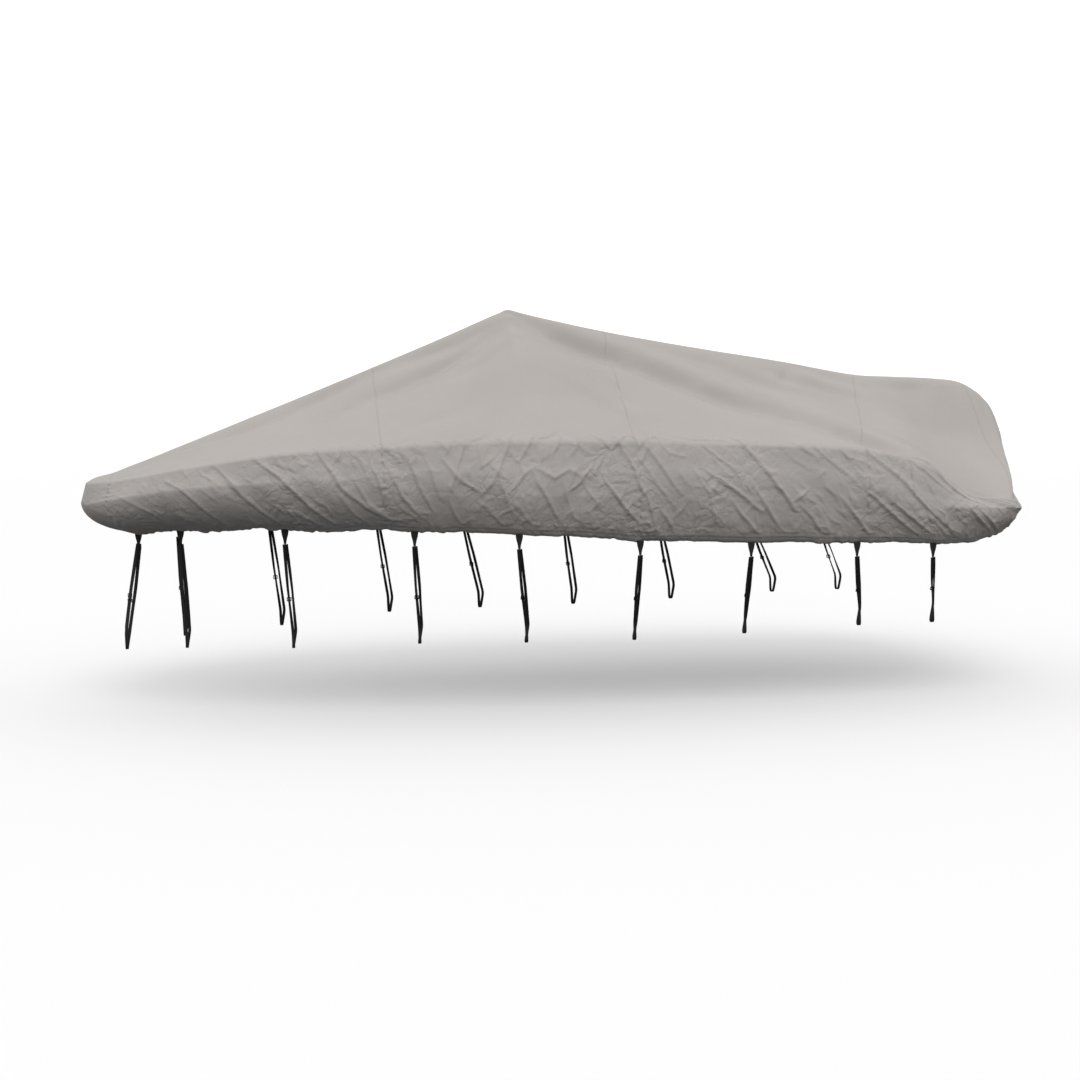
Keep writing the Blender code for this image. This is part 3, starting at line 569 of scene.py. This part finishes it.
def relax_slack(form, normal, start_lift, strain, hold, rounds):
    """Cloth longer than the form it covers, buckled until its threads have their own lengths again.

    The threads' lengths are those of the form with start_lift on it, made longer by the strain. Each
    round moves the ends of every thread, crossways thread and diagonal of the grid along their line by
    half of the error in its length, in sets that share no point. Then bends sharper than the cloth's
    stiffness allows are eased, and the cloth is drawn to the form by hold and kept in reach of it.
    """
    free = (1 - hold)[..., None]
    cut = form + normal * start_lift[..., None]
    p = cut.copy()
    uu, uv, vv = strain

    def middle(a, i, j):
        return (a[:a.shape[0] - i, :a.shape[1] - j] + a[i:, j:]) / 2

    step_u = np.linalg.norm(cut[1:] - cut[:-1], axis=-1)
    step_v = np.linalg.norm(cut[:, 1:] - cut[:, :-1], axis=-1)
    rest_u = step_u * (1 + middle(uu, 1, 0))
    rest_v = step_v * (1 + middle(vv, 0, 1))
    a, b = step_u[:, :-1], step_v[:-1]
    size = a * a + b * b
    even = (a * a * middle(uu, 1, 1) + b * b * middle(vv, 1, 1)) / size
    skew = 2 * a * b * middle(uv, 1, 1) / size
    rest_d = np.linalg.norm(cut[1:, 1:] - cut[:-1, :-1], axis=-1) * (1 + even + skew)
    rest_e = np.linalg.norm(cut[1:, :-1] - cut[:-1, 1:], axis=-1) * (1 + even - skew)

    def pull(start, end, rest, stiff):
        run = end - start
        length = np.sqrt(np.einsum("ijk,ijk->ij", run, run))
        run *= (stiff * 0.5 * (1 - rest / np.maximum(length, 1e-9)))[..., None]
        start += run
        end -= run

    for _ in range(rounds):
        for c in (0, 1):
            n = (p.shape[0] - c) // 2 * 2 + c
            pull(p[c:n:2], p[c + 1:n:2], rest_u[c:n - 1:2], 1.0)
            pull(p[c:n:2, :-1], p[c + 1:n:2, 1:], rest_d[c:n - 1:2], DIAGONAL_PULL)
            pull(p[c:n:2, 1:], p[c + 1:n:2, :-1], rest_e[c:n - 1:2], DIAGONAL_PULL)
            m = (p.shape[1] - c) // 2 * 2 + c
            pull(p[:, c:m:2], p[:, c + 1:m:2], rest_v[:, c:m - 1:2], 1.0)
        lift = p - form
        bend = lift.copy()
        for _ in (0, 1):
            around = bend[:-2, 1:-1] + bend[2:, 1:-1] + bend[1:-1, :-2] + bend[1:-1, 2:]
            inner = bend[1:-1, 1:-1] - around / 4
            bend = np.zeros_like(bend)
            bend[1:-1, 1:-1] = inner
        lift -= CLOTH_STIFFNESS * bend
        lift *= free
        out = np.einsum("ijk,ijk->ij", lift, normal)
        lift += normal * (np.clip(out, *SLACK_REACH) - out)[..., None] * 0.5
        p = form + lift
    return p


# ---------------------------------------------------------------- mesh helpers

def put(name, data):
    """An object for a mesh, lamp or camera, in the scene at the origin."""
    piece = bpy.data.objects.new(name, data)
    bpy.context.scene.collection.objects.link(piece)
    return piece


def mesh_object(name, points, faces, uv=None):
    """A mesh object at the origin from arrays of points and faces, with one UV pair a point."""
    mesh = bpy.data.meshes.new(name)
    faces = faces.tolist() if isinstance(faces, np.ndarray) else faces
    mesh.from_pydata(np.asarray(points, dtype=float).reshape(-1, 3).tolist(), [], faces)
    if uv is not None:
        layer = mesh.uv_layers.new(name="cloth")
        corner = np.empty(len(mesh.loops), dtype=np.int32)
        mesh.loops.foreach_get("vertex_index", corner)
        layer.data.foreach_set("uv", np.asarray(uv, dtype=np.float32).reshape(-1, 2)[corner].ravel())
    mesh.shade_smooth()
    return put(name, mesh)


def sharpen_rim(mesh, off_ridge):
    """Mark the mesh's open edges as sharp, so that the cloth's cut edge doesn't round its face off."""
    count = np.zeros(len(mesh.edges), dtype=np.int32)
    used = np.empty(len(mesh.loops), dtype=np.int32)
    mesh.loops.foreach_get("edge_index", used)
    np.add.at(count, used, 1)
    ends = np.empty(2 * len(mesh.edges), dtype=np.int32)
    mesh.edges.foreach_get("vertices", ends)
    away = off_ridge[ends.reshape(-1, 2)].any(axis=1)
    sharp = mesh.attributes.new("sharp_edge", "BOOLEAN", "EDGE")
    sharp.data.foreach_set("value", (count == 1) & away)


def grid_faces(rows, columns, base=0, flip=False):
    """Four-sided faces of a grid of points stored row after row."""
    index = base + np.arange(rows * columns).reshape(rows, columns)
    quad = np.stack([index[:-1, :-1], index[1:, :-1], index[1:, 1:], index[:-1, 1:]], axis=-1)
    return quad.reshape(-1, 4)[:, ::-1 if flip else 1]


def hand_over(piece, material, node=None):
    """Give a piece its material, hang it on the root body and hide the solid that it stands for, if there
    is one.
    """
    piece.data.materials.append(material)
    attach(piece, "root")
    if node:
        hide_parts(node)


def thicken(piece, thickness, outside):
    """Join the two sides along the ridge and give the cloth its thickness, outside (1) or inside (-1)."""
    weld = piece.modifiers.new("ridge_weld", "WELD")
    weld.merge_threshold = RIDGE_WELD
    shell = piece.modifiers.new("cloth_thickness", "SOLIDIFY")
    shell.thickness = thickness
    shell.offset = outside


# ---------------------------------------------------------------- materials

def linear(hex_colour):
    """sRGB hex colour turned to linear RGBA."""
    value = np.array([int(hex_colour[i:i + 2], 16) for i in (1, 3, 5)]) / 255
    value = np.where(value <= 0.04045, value / 12.92, ((value + 0.055) / 1.055) ** 2.4)
    return (*value.tolist(), 1.0)


def set_up(node, settings):
    """Give a node its settings: its attributes, or its sockets by name or number."""
    for key, value in settings.items():
        if isinstance(key, str) and hasattr(node, key):
            setattr(node, key, value)
        else:
            node.inputs[key].default_value = value


def add_node(tree, kind, settings=None, links=None):
    """A shader node with its settings and its inputs' links."""
    node = tree.nodes.new("ShaderNode" + kind)
    set_up(node, settings or {})
    for key, source in (links or {}).items():
        tree.links.new(source, node.inputs[key])
    return node


def maths(tree, operation, first, second=None, third=None):
    """The outcome of a sum on numbers or sockets."""
    settings, links = {"operation": operation}, {}
    for key, value in enumerate((first, second, third)):
        if value is not None:
            (settings if isinstance(value, float) else links)[key] = value
    return add_node(tree, "Math", settings, links).outputs[0]


def two_tones(tree, share, dark, pale, dark_at=0.0, pale_at=1.0):
    """A colour that goes from dark to pale as the share goes from dark_at to pale_at."""
    ramp = add_node(tree, "ValToRGB", {}, {"Fac": share})
    for stop, place, colour in zip(ramp.color_ramp.elements, (dark_at, pale_at), (dark, pale)):
        stop.position = place
        stop.color = linear(colour)
    return ramp.outputs["Color"]


def emboss(tree, shader, height, strength, distance):
    """Let a height stand out of the surface, as bump."""
    bump = add_node(tree, "Bump", {"Strength": strength, "Distance": distance}, {"Height": height})
    tree.links.new(bump.outputs["Normal"], shader.inputs["Normal"])


def new_material(name):
    """An empty node material with its shader."""
    material = bpy.data.materials.new(name)
    material.use_nodes = True
    tree = material.node_tree
    return material, tree, tree.nodes["Principled BSDF"]


def polyester_canvas(stitched=False):
    """Coated polyester canvas, woven and piece-dyed light grey.

    It gives a dull grey with a plain weave, faint rubbed patches and a soft sheen, and small flat
    facets where the slack cloth is crumpled. On a seam there are two rows of lock stitches as well.
    """
    material, tree, shader = new_material("polyester_canvas_" + ("seam" if stitched else "grey"))
    place = add_node(tree, "TexCoord").outputs["Object"]
    cloth = add_node(tree, "UVMap", {"uv_map": "cloth"}).outputs["UV"]

    def noise(**settings):
        return add_node(tree, "TexNoise", settings, {"Vector": place}).outputs

    def threads(direction):
        return add_node(tree, "TexWave", {"bands_direction": direction, "Scale": 52.0, "Distortion": 0.6,
                                          "Detail": 1.0}, {"Vector": cloth}).outputs["Fac"]

    cloudy = noise(Scale=1.3, Detail=5.0, Roughness=0.55)["Fac"]
    mottle = noise(Scale=150.0, Detail=2.0, Roughness=0.7)["Fac"]
    both = add_node(tree, "Mix", {"data_type": "FLOAT", 0: 0.5}, {2: cloudy, 3: mottle})
    colour = two_tones(tree, both.outputs[0], "#aea9a5", "#bab5b1", 0.30, 0.70)
    set_up(shader, {"Roughness": 0.78, "Specular IOR Level": 0.25, "Sheen Weight": 0.08,
                    "Sheen Roughness": 0.5})
    # threads are 0.6 mm apart in fact, too fine to show, so the weave is drawn at 3 mm
    weave = maths(tree, "MULTIPLY", threads("X"), threads("Y"))
    crinkle = noise(Scale=34.0, Detail=5.0, Roughness=0.62)["Fac"]
    fine = maths(tree, "MULTIPLY_ADD", weave, 0.16, crinkle)
    # the facets are about 9 cm across and come in patches, from the gunwale down
    moved = add_node(tree, "VectorMath", {"operation": "MULTIPLY_ADD", 1: (0.16, 0.16, 0.16)},
                     {0: noise(Scale=6.0, Detail=2.0)["Color"], 2: place})
    facets = add_node(tree, "TexVoronoi", {"feature": "DISTANCE_TO_EDGE", "Scale": 11.0, "Detail": 1.8,
                                           "Roughness": 0.45}, {"Vector": moved.outputs["Vector"]})
    split = add_node(tree, "SeparateXYZ", {}, {0: cloth}).outputs
    aside = maths(tree, "ABSOLUTE", split["X"])
    skirt = add_node(tree, "MapRange", {"From Min": SKIN_LENGTHS[1] - 0.04, "To Min": 0.8, "To Max": 22.0,
                                        "From Max": SKIN_LENGTHS[1] + 0.05}, {"Value": aside})
    patch = add_node(tree, "MapRange", {"From Min": 0.36, "From Max": 0.64, "To Min": 0.25, "To Max": 1.0},
                     {"Value": noise(Scale=2.4, Detail=1.0)["Fac"]})
    strength = maths(tree, "MULTIPLY", skirt.outputs["Result"], patch.outputs["Result"])
    height = maths(tree, "MULTIPLY_ADD", facets.outputs["Distance"], strength, fine)
    emboss(tree, shader, height, 0.5, 0.0022)
    if stitched:
        # stitches are 4 mm long, in rows 7 mm apart
        row = maths(tree, "COMPARE", aside, 0.0035, 0.0008)
        turns = maths(tree, "ABSOLUTE", maths(tree, "MODULO", split["Y"], 0.0052))
        stitch = maths(tree, "MULTIPLY", row, maths(tree, "LESS_THAN", turns, 0.0040))
        colour = add_node(tree, "Mix", {"data_type": "RGBA", 7: linear("#8f8a86")},
                          {0: stitch, 6: colour}).outputs[2]
    tree.links.new(colour, shader.inputs["Base Color"])
    return material


def webbing():
    """Polypropylene webbing, woven flat and dyed black: dull, with cross ribs and a soft edge."""
    material, tree, shader = new_material("polypropylene_webbing_black")
    cloth = add_node(tree, "UVMap", {"uv_map": "cloth"}).outputs["UV"]
    ribs = add_node(tree, "TexWave", {"bands_direction": "Y", "Scale": 160.0, "Distortion": 1.5},
                    {"Vector": cloth}).outputs["Fac"]
    tree.links.new(two_tones(tree, ribs, "#0c0c0c", "#1b1b1a"), shader.inputs["Base Color"])
    set_up(shader, {"Roughness": 0.62})
    emboss(tree, shader, ribs, 0.5, 0.0006)
    return material


def moulded_acetal():
    """Acetal, injection moulded black: satin, with a faint grain from the mould."""
    material, tree, shader = new_material("acetal_moulded_black")
    place = add_node(tree, "TexCoord").outputs["Object"]
    grain = add_node(tree, "TexNoise", {"Scale": 900.0, "Detail": 2.0}, {"Vector": place}).outputs["Fac"]
    tree.links.new(two_tones(tree, grain, "#111112", "#1d1d1e"), shader.inputs["Base Color"])
    set_up(shader, {"Roughness": 0.42})
    emboss(tree, shader, grain, 0.3, 0.0003)
    return material


def lit_backdrop():
    """White backdrop cloth lit from behind as well as from above: pale, with a soft shadow."""
    material, tree, shader = new_material("backdrop_lit_white")
    set_up(shader, {"Base Color": linear("#dadada"), "Roughness": 1.0, "Specular IOR Level": 0.0,
                    "Emission Color": linear("#ffffff")})
    place = add_node(tree, "TexCoord").outputs["Object"]
    split = add_node(tree, "SeparateXYZ", {}, {0: place})
    glow = add_node(tree, "MapRange", {"From Min": GROUND, "From Max": GROUND + 4.0, "To Min": 0.27,
                                       "To Max": 0.80}, {"Value": split.outputs["Z"]})
    tree.links.new(glow.outputs["Result"], shader.inputs["Emission Strength"])
    return material


# ---------------------------------------------------------------- panels

def panel_places(start, end):
    """Distances along the rub rail of a panel's fine columns."""
    first, last = along_of(start), along_of(end)
    return np.linspace(first, last, 2 * max(8, int(round((last - first) / COLUMN_PITCH / 2))) + 1)


def cloth_rows():
    """Places across the skin of the fine rows: wider on the top, narrow from the gunwale down."""
    top = SKIRT_START * np.linspace(0, 1, TOP_ROWS, endpoint=False) ** 1.1
    casing = SKIN_LENGTHS[3] - CASING_WIDTH
    skirt = np.linspace(metres_across(SKIRT_START), casing, SKIRT_ROWS, endpoint=False)
    hem = np.linspace(casing, SKIN_LENGTHS[3], CASING_ROWS + 1)
    return np.concatenate([top, np.interp(np.concatenate([skirt, hem]), SKIN_LENGTHS, (0, 1, 2, 3))])


def crests_of(rows, shift, width=1.0):
    """Table rows turned to places in metres, moved along the boat by shift."""
    return [(a + shift, metres_across(b), c + shift, metres_across(d), e + shift, metres_across(f),
             wide * width, high) for a, b, c, d, e, f, wide, high in rows]


def gathered_hem(u, v, seed):
    """How far the hem stands out: a round casing, the stitch line sunk above it and small gathers.

    The casing is half a sine wave, the stitch line a narrow bell, and the gathers are random waves that
    fade upwards from the hem's edge and come stronger and weaker along it.
    """
    up = SKIN_LENGTHS[3] - v
    casing = CASING_BULGE * np.sin(np.pi * np.clip(up / CASING_WIDTH, 0, 1))
    stitched = -STITCH_SINK * np.exp(-((up - CASING_WIDTH) / STITCH_WIDTH) ** 2)
    strength = np.clip(0.75 + 0.55 * lattice_noise(u, 0 * v, 0.45, 1.0, seed), 0.25, 1.3)
    fade = np.clip(1 - up / GATHER_REACH, 0, 1) ** 1.6
    gathers = 0.0075 * lattice_noise(u + 0.25 * up, v, 0.024, 0.06, seed + 1)
    gathers += 0.0060 * lattice_noise(u + 0.4 * up, v, 0.055, 0.20, seed + 2)
    return casing + stitched + strength * fade * gathers


def seam_puckers(u, v, seed):
    """Small gathers that the sewing draws up beside each seam: they fade exponentially away from it."""
    seams = np.array([along_of(end) for _, _, end, _, _ in PANELS[:-1]] + [DART_PLACE])
    away = np.abs(u[..., None] - seams).min(axis=-1)
    return PUCKER_HEIGHT * lattice_noise(v, u, 0.026, 0.05, seed) * np.exp(-away / PUCKER_REACH)


def whole_side(along, across, side):
    """All the cloth of one side from bow to stern, with its slack part buckled.

    The top has its troughs and slow swells. Below SKIRT_START the wrinkles start the buckling, and
    the seams' puckers, the hem's gathers and the elastic's pull come with it. All of it fades to
    nothing at the bow's and the stern's middle, where the two sides meet.
    """
    form = skin(along, across, side)
    normal = outward(along, across)
    normal[..., 1] *= side
    shift, seed = SIDE_SHIFT[side], SIDE_SEED[side]
    u, v = np.meshgrid(along, metres_across(across), indexing="ij")
    ends = np.clip(u / 0.25, 0, 1) * np.clip((ALONG[-1] - u) / 0.12, 0, 1)
    ridge = np.clip(v / 0.03, 0, 1)
    troughs = TROUGH_SIZE * crest_lift(u, v, crests_of(TOP_TROUGHS, shift, TROUGH_WIDTH), 1.0, 1.9, 2.0)
    soft = 0.0035 * lattice_noise(u, v, 0.33, 0.16, seed + 8)
    soft += 0.0012 * lattice_noise(u, v, 0.12, 0.09, seed + 9)
    form += normal * ((troughs + soft) * ends * ridge)[..., None]

    slack = np.searchsorted(across, SKIRT_START)
    u, v, ends = u[:, slack:], v[:, slack:], ends[:, slack:]
    x = np.broadcast_to(smooth(COLUMN["rail_x"], along)[:, None], u.shape)
    up = SKIN_LENGTHS[3] - v
    started = np.clip((v - metres_across(SKIRT_START)) / 0.03, 0, 1)
    casing = np.clip((v - (SKIN_LENGTHS[3] - 2 * CASING_WIDTH)) / CASING_WIDTH, 0, 1)
    hold = 1 - (1 - SLACK_HOLD) * started * ends * (1 - 0.6 * casing)
    strain = [part * started * ends * (1 - casing) for part in slack_strain(u, x, v, seed)]
    crests = crests_of(WRINKLES, shift, WRINKLE_WIDTH) + small_crests(ALONG[-1], seed + 3, SMALL_WRINKLES)
    lift = WRINKLE_SIZE * crest_lift(u, v, crests) * np.clip(started * 1.5, 0, 1)
    lift += 0.0012 * lattice_noise(u, v, 0.05, 0.05, seed + 6) * started
    lift *= ends * (1 - 0.8 * casing)
    lift += seam_puckers(u, v, seed + 30) * started
    form[:, slack:] = relax_slack(form[:, slack:], normal[:, slack:], lift, strain, hold, RELAX_ROUNDS)
    form[:, slack:] += normal[:, slack:] * (gathered_hem(u, v, seed + 20) * ends)[..., None]
    edge = np.clip(1 - up / 0.06, 0, 1) * ends
    form[:, slack:, 2] += 0.0024 * edge * lattice_noise(u, v, 0.045, 1.0, seed + 24)
    turned = np.clip(1 - up / (1.3 * CASING_WIDTH), 0, 1)
    form[:, slack:, 1] -= side * HEM_TURN * ends * turned
    return form


def side_mesh(grid, base, flip):
    """Points and faces of one side of a panel: the top has every second column of the skirt's.

    Between the two each top face meets two skirt faces, so the row there is of three-cornered faces.
    """
    top, skirt = grid[::2, :TOP_ROWS], grid[:, TOP_ROWS:]
    t = base + np.arange(top.shape[0] * top.shape[1]).reshape(top.shape[:2])
    b = t[-1, -1] + 1 + np.arange(skirt.shape[0] * skirt.shape[1]).reshape(skirt.shape[:2])
    left, middle, right = b[:-1:2, 0], b[1::2, 0], b[2::2, 0]
    near, after = t[:-1, -1], t[1:, -1]
    threes = np.concatenate([np.stack(row, axis=-1) for row in
                             ((near, middle, left), (near, after, middle), (after, right, middle))])
    if flip:
        threes = threes[:, ::-1]
    faces = (grid_faces(*top.shape[:2], t[0, 0], flip).tolist() + threes.tolist()
             + grid_faces(*skirt.shape[:2], b[0, 0], flip).tolist())
    return np.concatenate([top.reshape(-1, grid.shape[-1]), skirt.reshape(-1, grid.shape[-1])]), faces


def make_seam(name, sides, across, column, rows, material):
    """A felled seam over the cloth: its raised profile carried down one column of both sides.

    A seam that starts at the ridge is one strip over both sides, and any other is two strips.
    """
    offset, height = np.array(SEAM_PROFILE).T
    strips, uv = [], []
    for side, whole in sides.items():
        line = whole[column, rows]
        run = whole[column + 1, rows] - whole[column - 1, rows]
        run /= np.linalg.norm(run, axis=-1, keepdims=True)
        down = np.gradient(line, axis=0)
        out = np.cross(run, down) * side
        out /= np.linalg.norm(out, axis=-1, keepdims=True)
        lift = CLOTH_THICKNESS - SEAM_SINK + SEAM_HEIGHT * height
        strip = line[:, None] + run[:, None] * (offset * SEAM_WIDTH)[None, :, None]
        strip = strip + out[:, None] * lift[None, :, None]
        strips.append(strip if side > 0 else strip[::-1])
        place = metres_across(across[rows]) * side
        uv.append(place if side > 0 else place[::-1])
    if rows.start == 0:
        strips, uv = [np.concatenate(strips)], [np.concatenate(uv)]
    points, faces, wrap = [], [], []
    for strip, place in zip(strips, uv):
        faces.append(grid_faces(*strip.shape[:2], base=sum(len(p) for p in points), flip=True))
        points.append(strip.reshape(-1, 3))
        across_seam, down = np.meshgrid(offset * SEAM_WIDTH, place)
        wrap.append(np.stack([across_seam, down], axis=-1).reshape(-1, 2))
    piece = mesh_object(name, np.concatenate(points), np.concatenate(faces), np.concatenate(wrap))
    thicken(piece, SEAM_TAPE, -1.0)
    hand_over(piece, material)
    return piece


def make_panels(material, seam_material):
    """Every cloth panel over both sides of the boat, welded along the ridge and given its thickness."""
    across = cloth_rows()
    places = [panel_places(start, end) for _, start, end, _, _ in PANELS]
    along = np.concatenate([places[0]] + [place[1:] for place in places[1:]])
    sides = {side: whole_side(along, across, side) for side in (-1, 1)}
    everywhere = slice(0, len(across))
    first = 0
    for (name, _, _, width, length), place in zip(PANELS, places):
        last = first + len(place)
        points, faces = [], []
        for side, whole in sides.items():
            down, run = np.meshgrid(side * metres_across(across), place)
            grid = np.concatenate([whole[first:last], np.stack([down, run], axis=-1)], axis=-1)
            made = side_mesh(grid, sum(len(p) for p in points), side < 0)
            points.append(made[0])
            faces += made[1]
        points = np.concatenate(points)
        piece = mesh_object(name + "_cloth", points[:, :3], faces, points[:, 3:])
        sharpen_rim(piece.data, np.abs(points[:, 3]) > 1e-6)
        first = last - 1
        thicken(piece, CLOTH_THICKNESS, 1.0)
        hand_over(piece, material, name)
        if name != PANELS[-1][0]:
            make_seam(name + "_seam", sides, across, first, everywhere, seam_material)
        if name == "stern_panel":
            reach = slice(*np.searchsorted(across, DART_REACH))
            column = int(np.searchsorted(along, DART_PLACE))
            make_seam("dart_seam", sides, across, column, reach, seam_material)


# ---------------------------------------------------------------- straps

def strap_route(head, foot, side):
    """Middle line of the webbing: down the front, round the trailer rail and back up behind."""
    half, tall = TRAILER_RAIL_WIDTH / 2, TRAILER_RAIL_HEIGHT
    neck = np.array(head) - (0, 0, TAB_LENGTH + PIECE_GAP)
    x, y, z = foot
    flat = half * FOOT_FLAT
    front = np.array([(x - .004, y + half, z + tall), (x, y + half, z + FOOT_CORNER)])
    under = np.array([(x, y + flat, z), (x + .002, y - flat, z)])
    back = np.array([(x + .003, y - half, z + FOOT_CORNER), (x + .020, y - half, z + tall)])
    flip = np.array([1, side, 1])
    start = neck + (FRONT_RUN_X, RUN_APART * side, 0)
    end = neck + (BACK_RUN_X, -RUN_APART * side, 0)
    down = [start, mix(start, front[0] * flip, 0.5) + (-RUN_BOW, 0, 0)]
    up = [mix(back[1] * flip, end, 0.5) + (RUN_BOW, 0, 0), end]
    return np.array(down + [p * flip for p in (*front, *under, *back)] + up)


def points_at(line, at):
    """Points at given distances along a line."""
    return np.stack([np.interp(at, lengths_along(line), values) for values in line.T], axis=1)


def dense_route(route):
    """Points along a route at an even pitch, with its corners rounded by averaging neighbours."""
    length = lengths_along(route)[-1]
    line = points_at(route, np.linspace(0, length, int(length / ROUTE_PITCH) + 1))
    for _ in range(ROUTE_ROUNDS):
        line[1:-1] = (line[:-2] + 2 * line[1:-1] + line[2:]) / 4
    return line


def band_mesh(name, line, width, thickness, twist):
    """A flat band along a line, its width along the boat and turned about the line by twist.

    The section is a flat oval of eight points, and each end is closed.
    """
    tangent = np.gradient(line, axis=0)
    tangent /= np.linalg.norm(tangent, axis=1, keepdims=True)
    wide = np.tile([1.0, 0.0, 0.0], (len(line), 1))
    wide -= tangent * np.sum(wide * tangent, axis=1, keepdims=True)
    wide /= np.linalg.norm(wide, axis=1, keepdims=True)
    flat = np.cross(tangent, wide)
    turned = wide * np.cos(twist)[:, None] + flat * np.sin(twist)[:, None]
    flat = flat * np.cos(twist)[:, None] - wide * np.sin(twist)[:, None]
    section = np.array([(-1, 0), (-.94, -.8), (0, -1), (.94, -.8), (1, 0), (.94, .8), (0, 1), (-.94, .8)])
    half = np.broadcast_to(width, len(line))[:, None, None] / 2
    ring = (line[:, None] + turned[:, None] * section[None, :, :1] * half
            + flat[:, None] * section[None, :, 1:] * (thickness / 2))
    count, sides = ring.shape[:2]
    index = np.arange(count * sides).reshape(count, sides)
    after = np.roll(index, -1, axis=1)
    faces = np.stack([index[:-1], after[:-1], after[1:], index[1:]], axis=-1).reshape(-1, 4).tolist()
    faces += [index[0, ::-1].tolist(), index[-1].tolist()]
    place = section[None, :, 0] * half[..., 0]
    uv = np.stack(np.broadcast_arrays(place, lengths_along(line)[:, None]), axis=-1)
    return mesh_object(name, ring, faces, uv)


def make_tab(key, head, side, web):
    """The tab sewn in the hem: webbing folded in two, spread at the hem and gathered to a neck below."""
    gap = TAB_THICKNESS / 2 - TAB_LAYER / 2
    # height above the hem, distance between the layers and width, from inside the hem to the neck
    drop = np.array([0.010, 0.0, -0.022, -0.048, -0.068, -TAB_LENGTH + TAB_LAYER])
    apart = np.array([1.0, 1.0, 1.1, 1.2, 1.3, 0.5]) * gap
    wide = np.array([1.0, 1.0, 0.86, 0.56, 0.38, TAB_NECK_WIDTH / TAB_WIDTH]) * TAB_WIDTH
    outer = np.stack([0 * drop, side * apart, drop], axis=1)
    inner = (outer * (1, -1, 1))[::-1]
    corners = head + np.concatenate([outer, inner])
    step = lengths_along(corners)
    at = np.linspace(0, step[-1], TAB_POINTS)
    width = np.interp(at, step, np.concatenate([wide, wide[::-1]]))
    piece = band_mesh("webbing_tab_" + key, points_at(corners, at), width, TAB_LAYER, np.zeros(TAB_POINTS))
    hand_over(piece, web, "tab_" + key)


def make_straps(web, acetal):
    """Webbing, tab and buckle at each place along both sides."""
    for label, side in (("near", -1), ("far", 1)):
        for number, row in enumerate(STRAPS, start=1):
            strap = dict(zip(STRAP_COLUMNS, row))
            key = f"{label}_{number}"
            low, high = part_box("tab_" + key)
            head = np.array([(low[0] + high[0]) / 2, (low[1] + high[1]) / 2, high[2]])
            route = strap_route(head, (strap["foot_x"], strap["foot_y"], strap["foot_z"]), side)
            line = dense_route(route)
            share = np.linspace(0, 1, len(line))
            twist = STRAP_TWIST * np.sin(share * math.pi * 2 + number) * np.sin(share * math.pi * 2) ** 2
            piece = band_mesh("webbing_" + key, line, WEBBING_WIDTH, WEBBING_THICKNESS, twist)
            hand_over(piece, web, "strap_" + key)
            make_tab(key, head, side, web)
            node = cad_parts["buckle_" + key]
            node.data.materials.clear()
            node.data.materials.append(acetal)


# ---------------------------------------------------------------- stage, light and camera

def make_stage():
    """A pale round floor that curves up into a wall, a soft sun, the room's light and the camera."""
    turn = np.linspace(0, 2 * math.pi, 97)
    lift = np.linspace(0, math.pi / 2, 13)
    radius = np.concatenate([[0.0002, 8, 16], 24 + 6 * np.sin(lift), [30]])
    height = np.concatenate([[0, 0, 0], 6 - 6 * np.cos(lift), [14]]) + GROUND
    points = np.stack([radius[:, None] * np.cos(turn), radius[:, None] * np.sin(turn),
                       np.broadcast_to(height[:, None], (len(radius), len(turn)))], axis=-1)
    floor = mesh_object("studio_floor", points, grid_faces(*points.shape[:2]))
    floor.data.materials.append(lit_backdrop())
    floor.visible_diffuse = False
    floor.visible_glossy = False

    light = bpy.data.lights.new("broad_soft_light", "SUN")
    light.energy = SOFT_LIGHT_STRENGTH
    light.angle = math.radians(SOFT_LIGHT_SPREAD)
    put("broad_soft_light", light).rotation_euler = SOFT_LIGHT_TURN

    world = bpy.data.worlds.new("pale_room")
    bpy.context.scene.world = world
    world.use_nodes = True
    tree = world.node_tree
    place = add_node(tree, "TexCoord")
    height = add_node(tree, "SeparateXYZ", {}, {0: place.outputs["Generated"]})
    share = add_node(tree, "MapRange", {"From Min": -1.0, "From Max": 1.0},
                     {"Value": height.outputs["Z"]})
    sky = add_node(tree, "ValToRGB", {}, {"Fac": share.outputs["Result"]})
    for place, grey in ROOM_LIGHT:
        stop = sky.color_ramp.elements.new(place)
        stop.color = (grey, grey, grey, 1.0)
    sky.color_ramp.elements.remove(sky.color_ramp.elements[0])
    sky.color_ramp.elements.remove(sky.color_ramp.elements[-1])
    tree.links.new(sky.outputs["Color"], tree.nodes["Background"].inputs["Color"])
    tree.nodes["Background"].inputs["Strength"].default_value = 1.0

    lens = bpy.data.cameras.new("camera")
    lens.lens = LENS
    lens.sensor_width = 36.0
    lens.clip_end = 200.0
    camera = put("camera", lens)
    camera.location = CAMERA_PLACE
    camera.rotation_euler = (math.radians(90 - CAMERA_TILT), 0, math.radians(-CAMERA_TURN))
    bpy.context.scene.camera = camera
    bpy.context.scene.view_settings.view_transform = "Standard"


def main():
    """Stage first, then the panels from bow to stern, then the straps."""
    make_stage()
    canvas, seam, web, acetal = polyester_canvas(), polyester_canvas(True), webbing(), moulded_acetal()
    make_panels(canvas, seam)
    make_straps(web, acetal)


main()
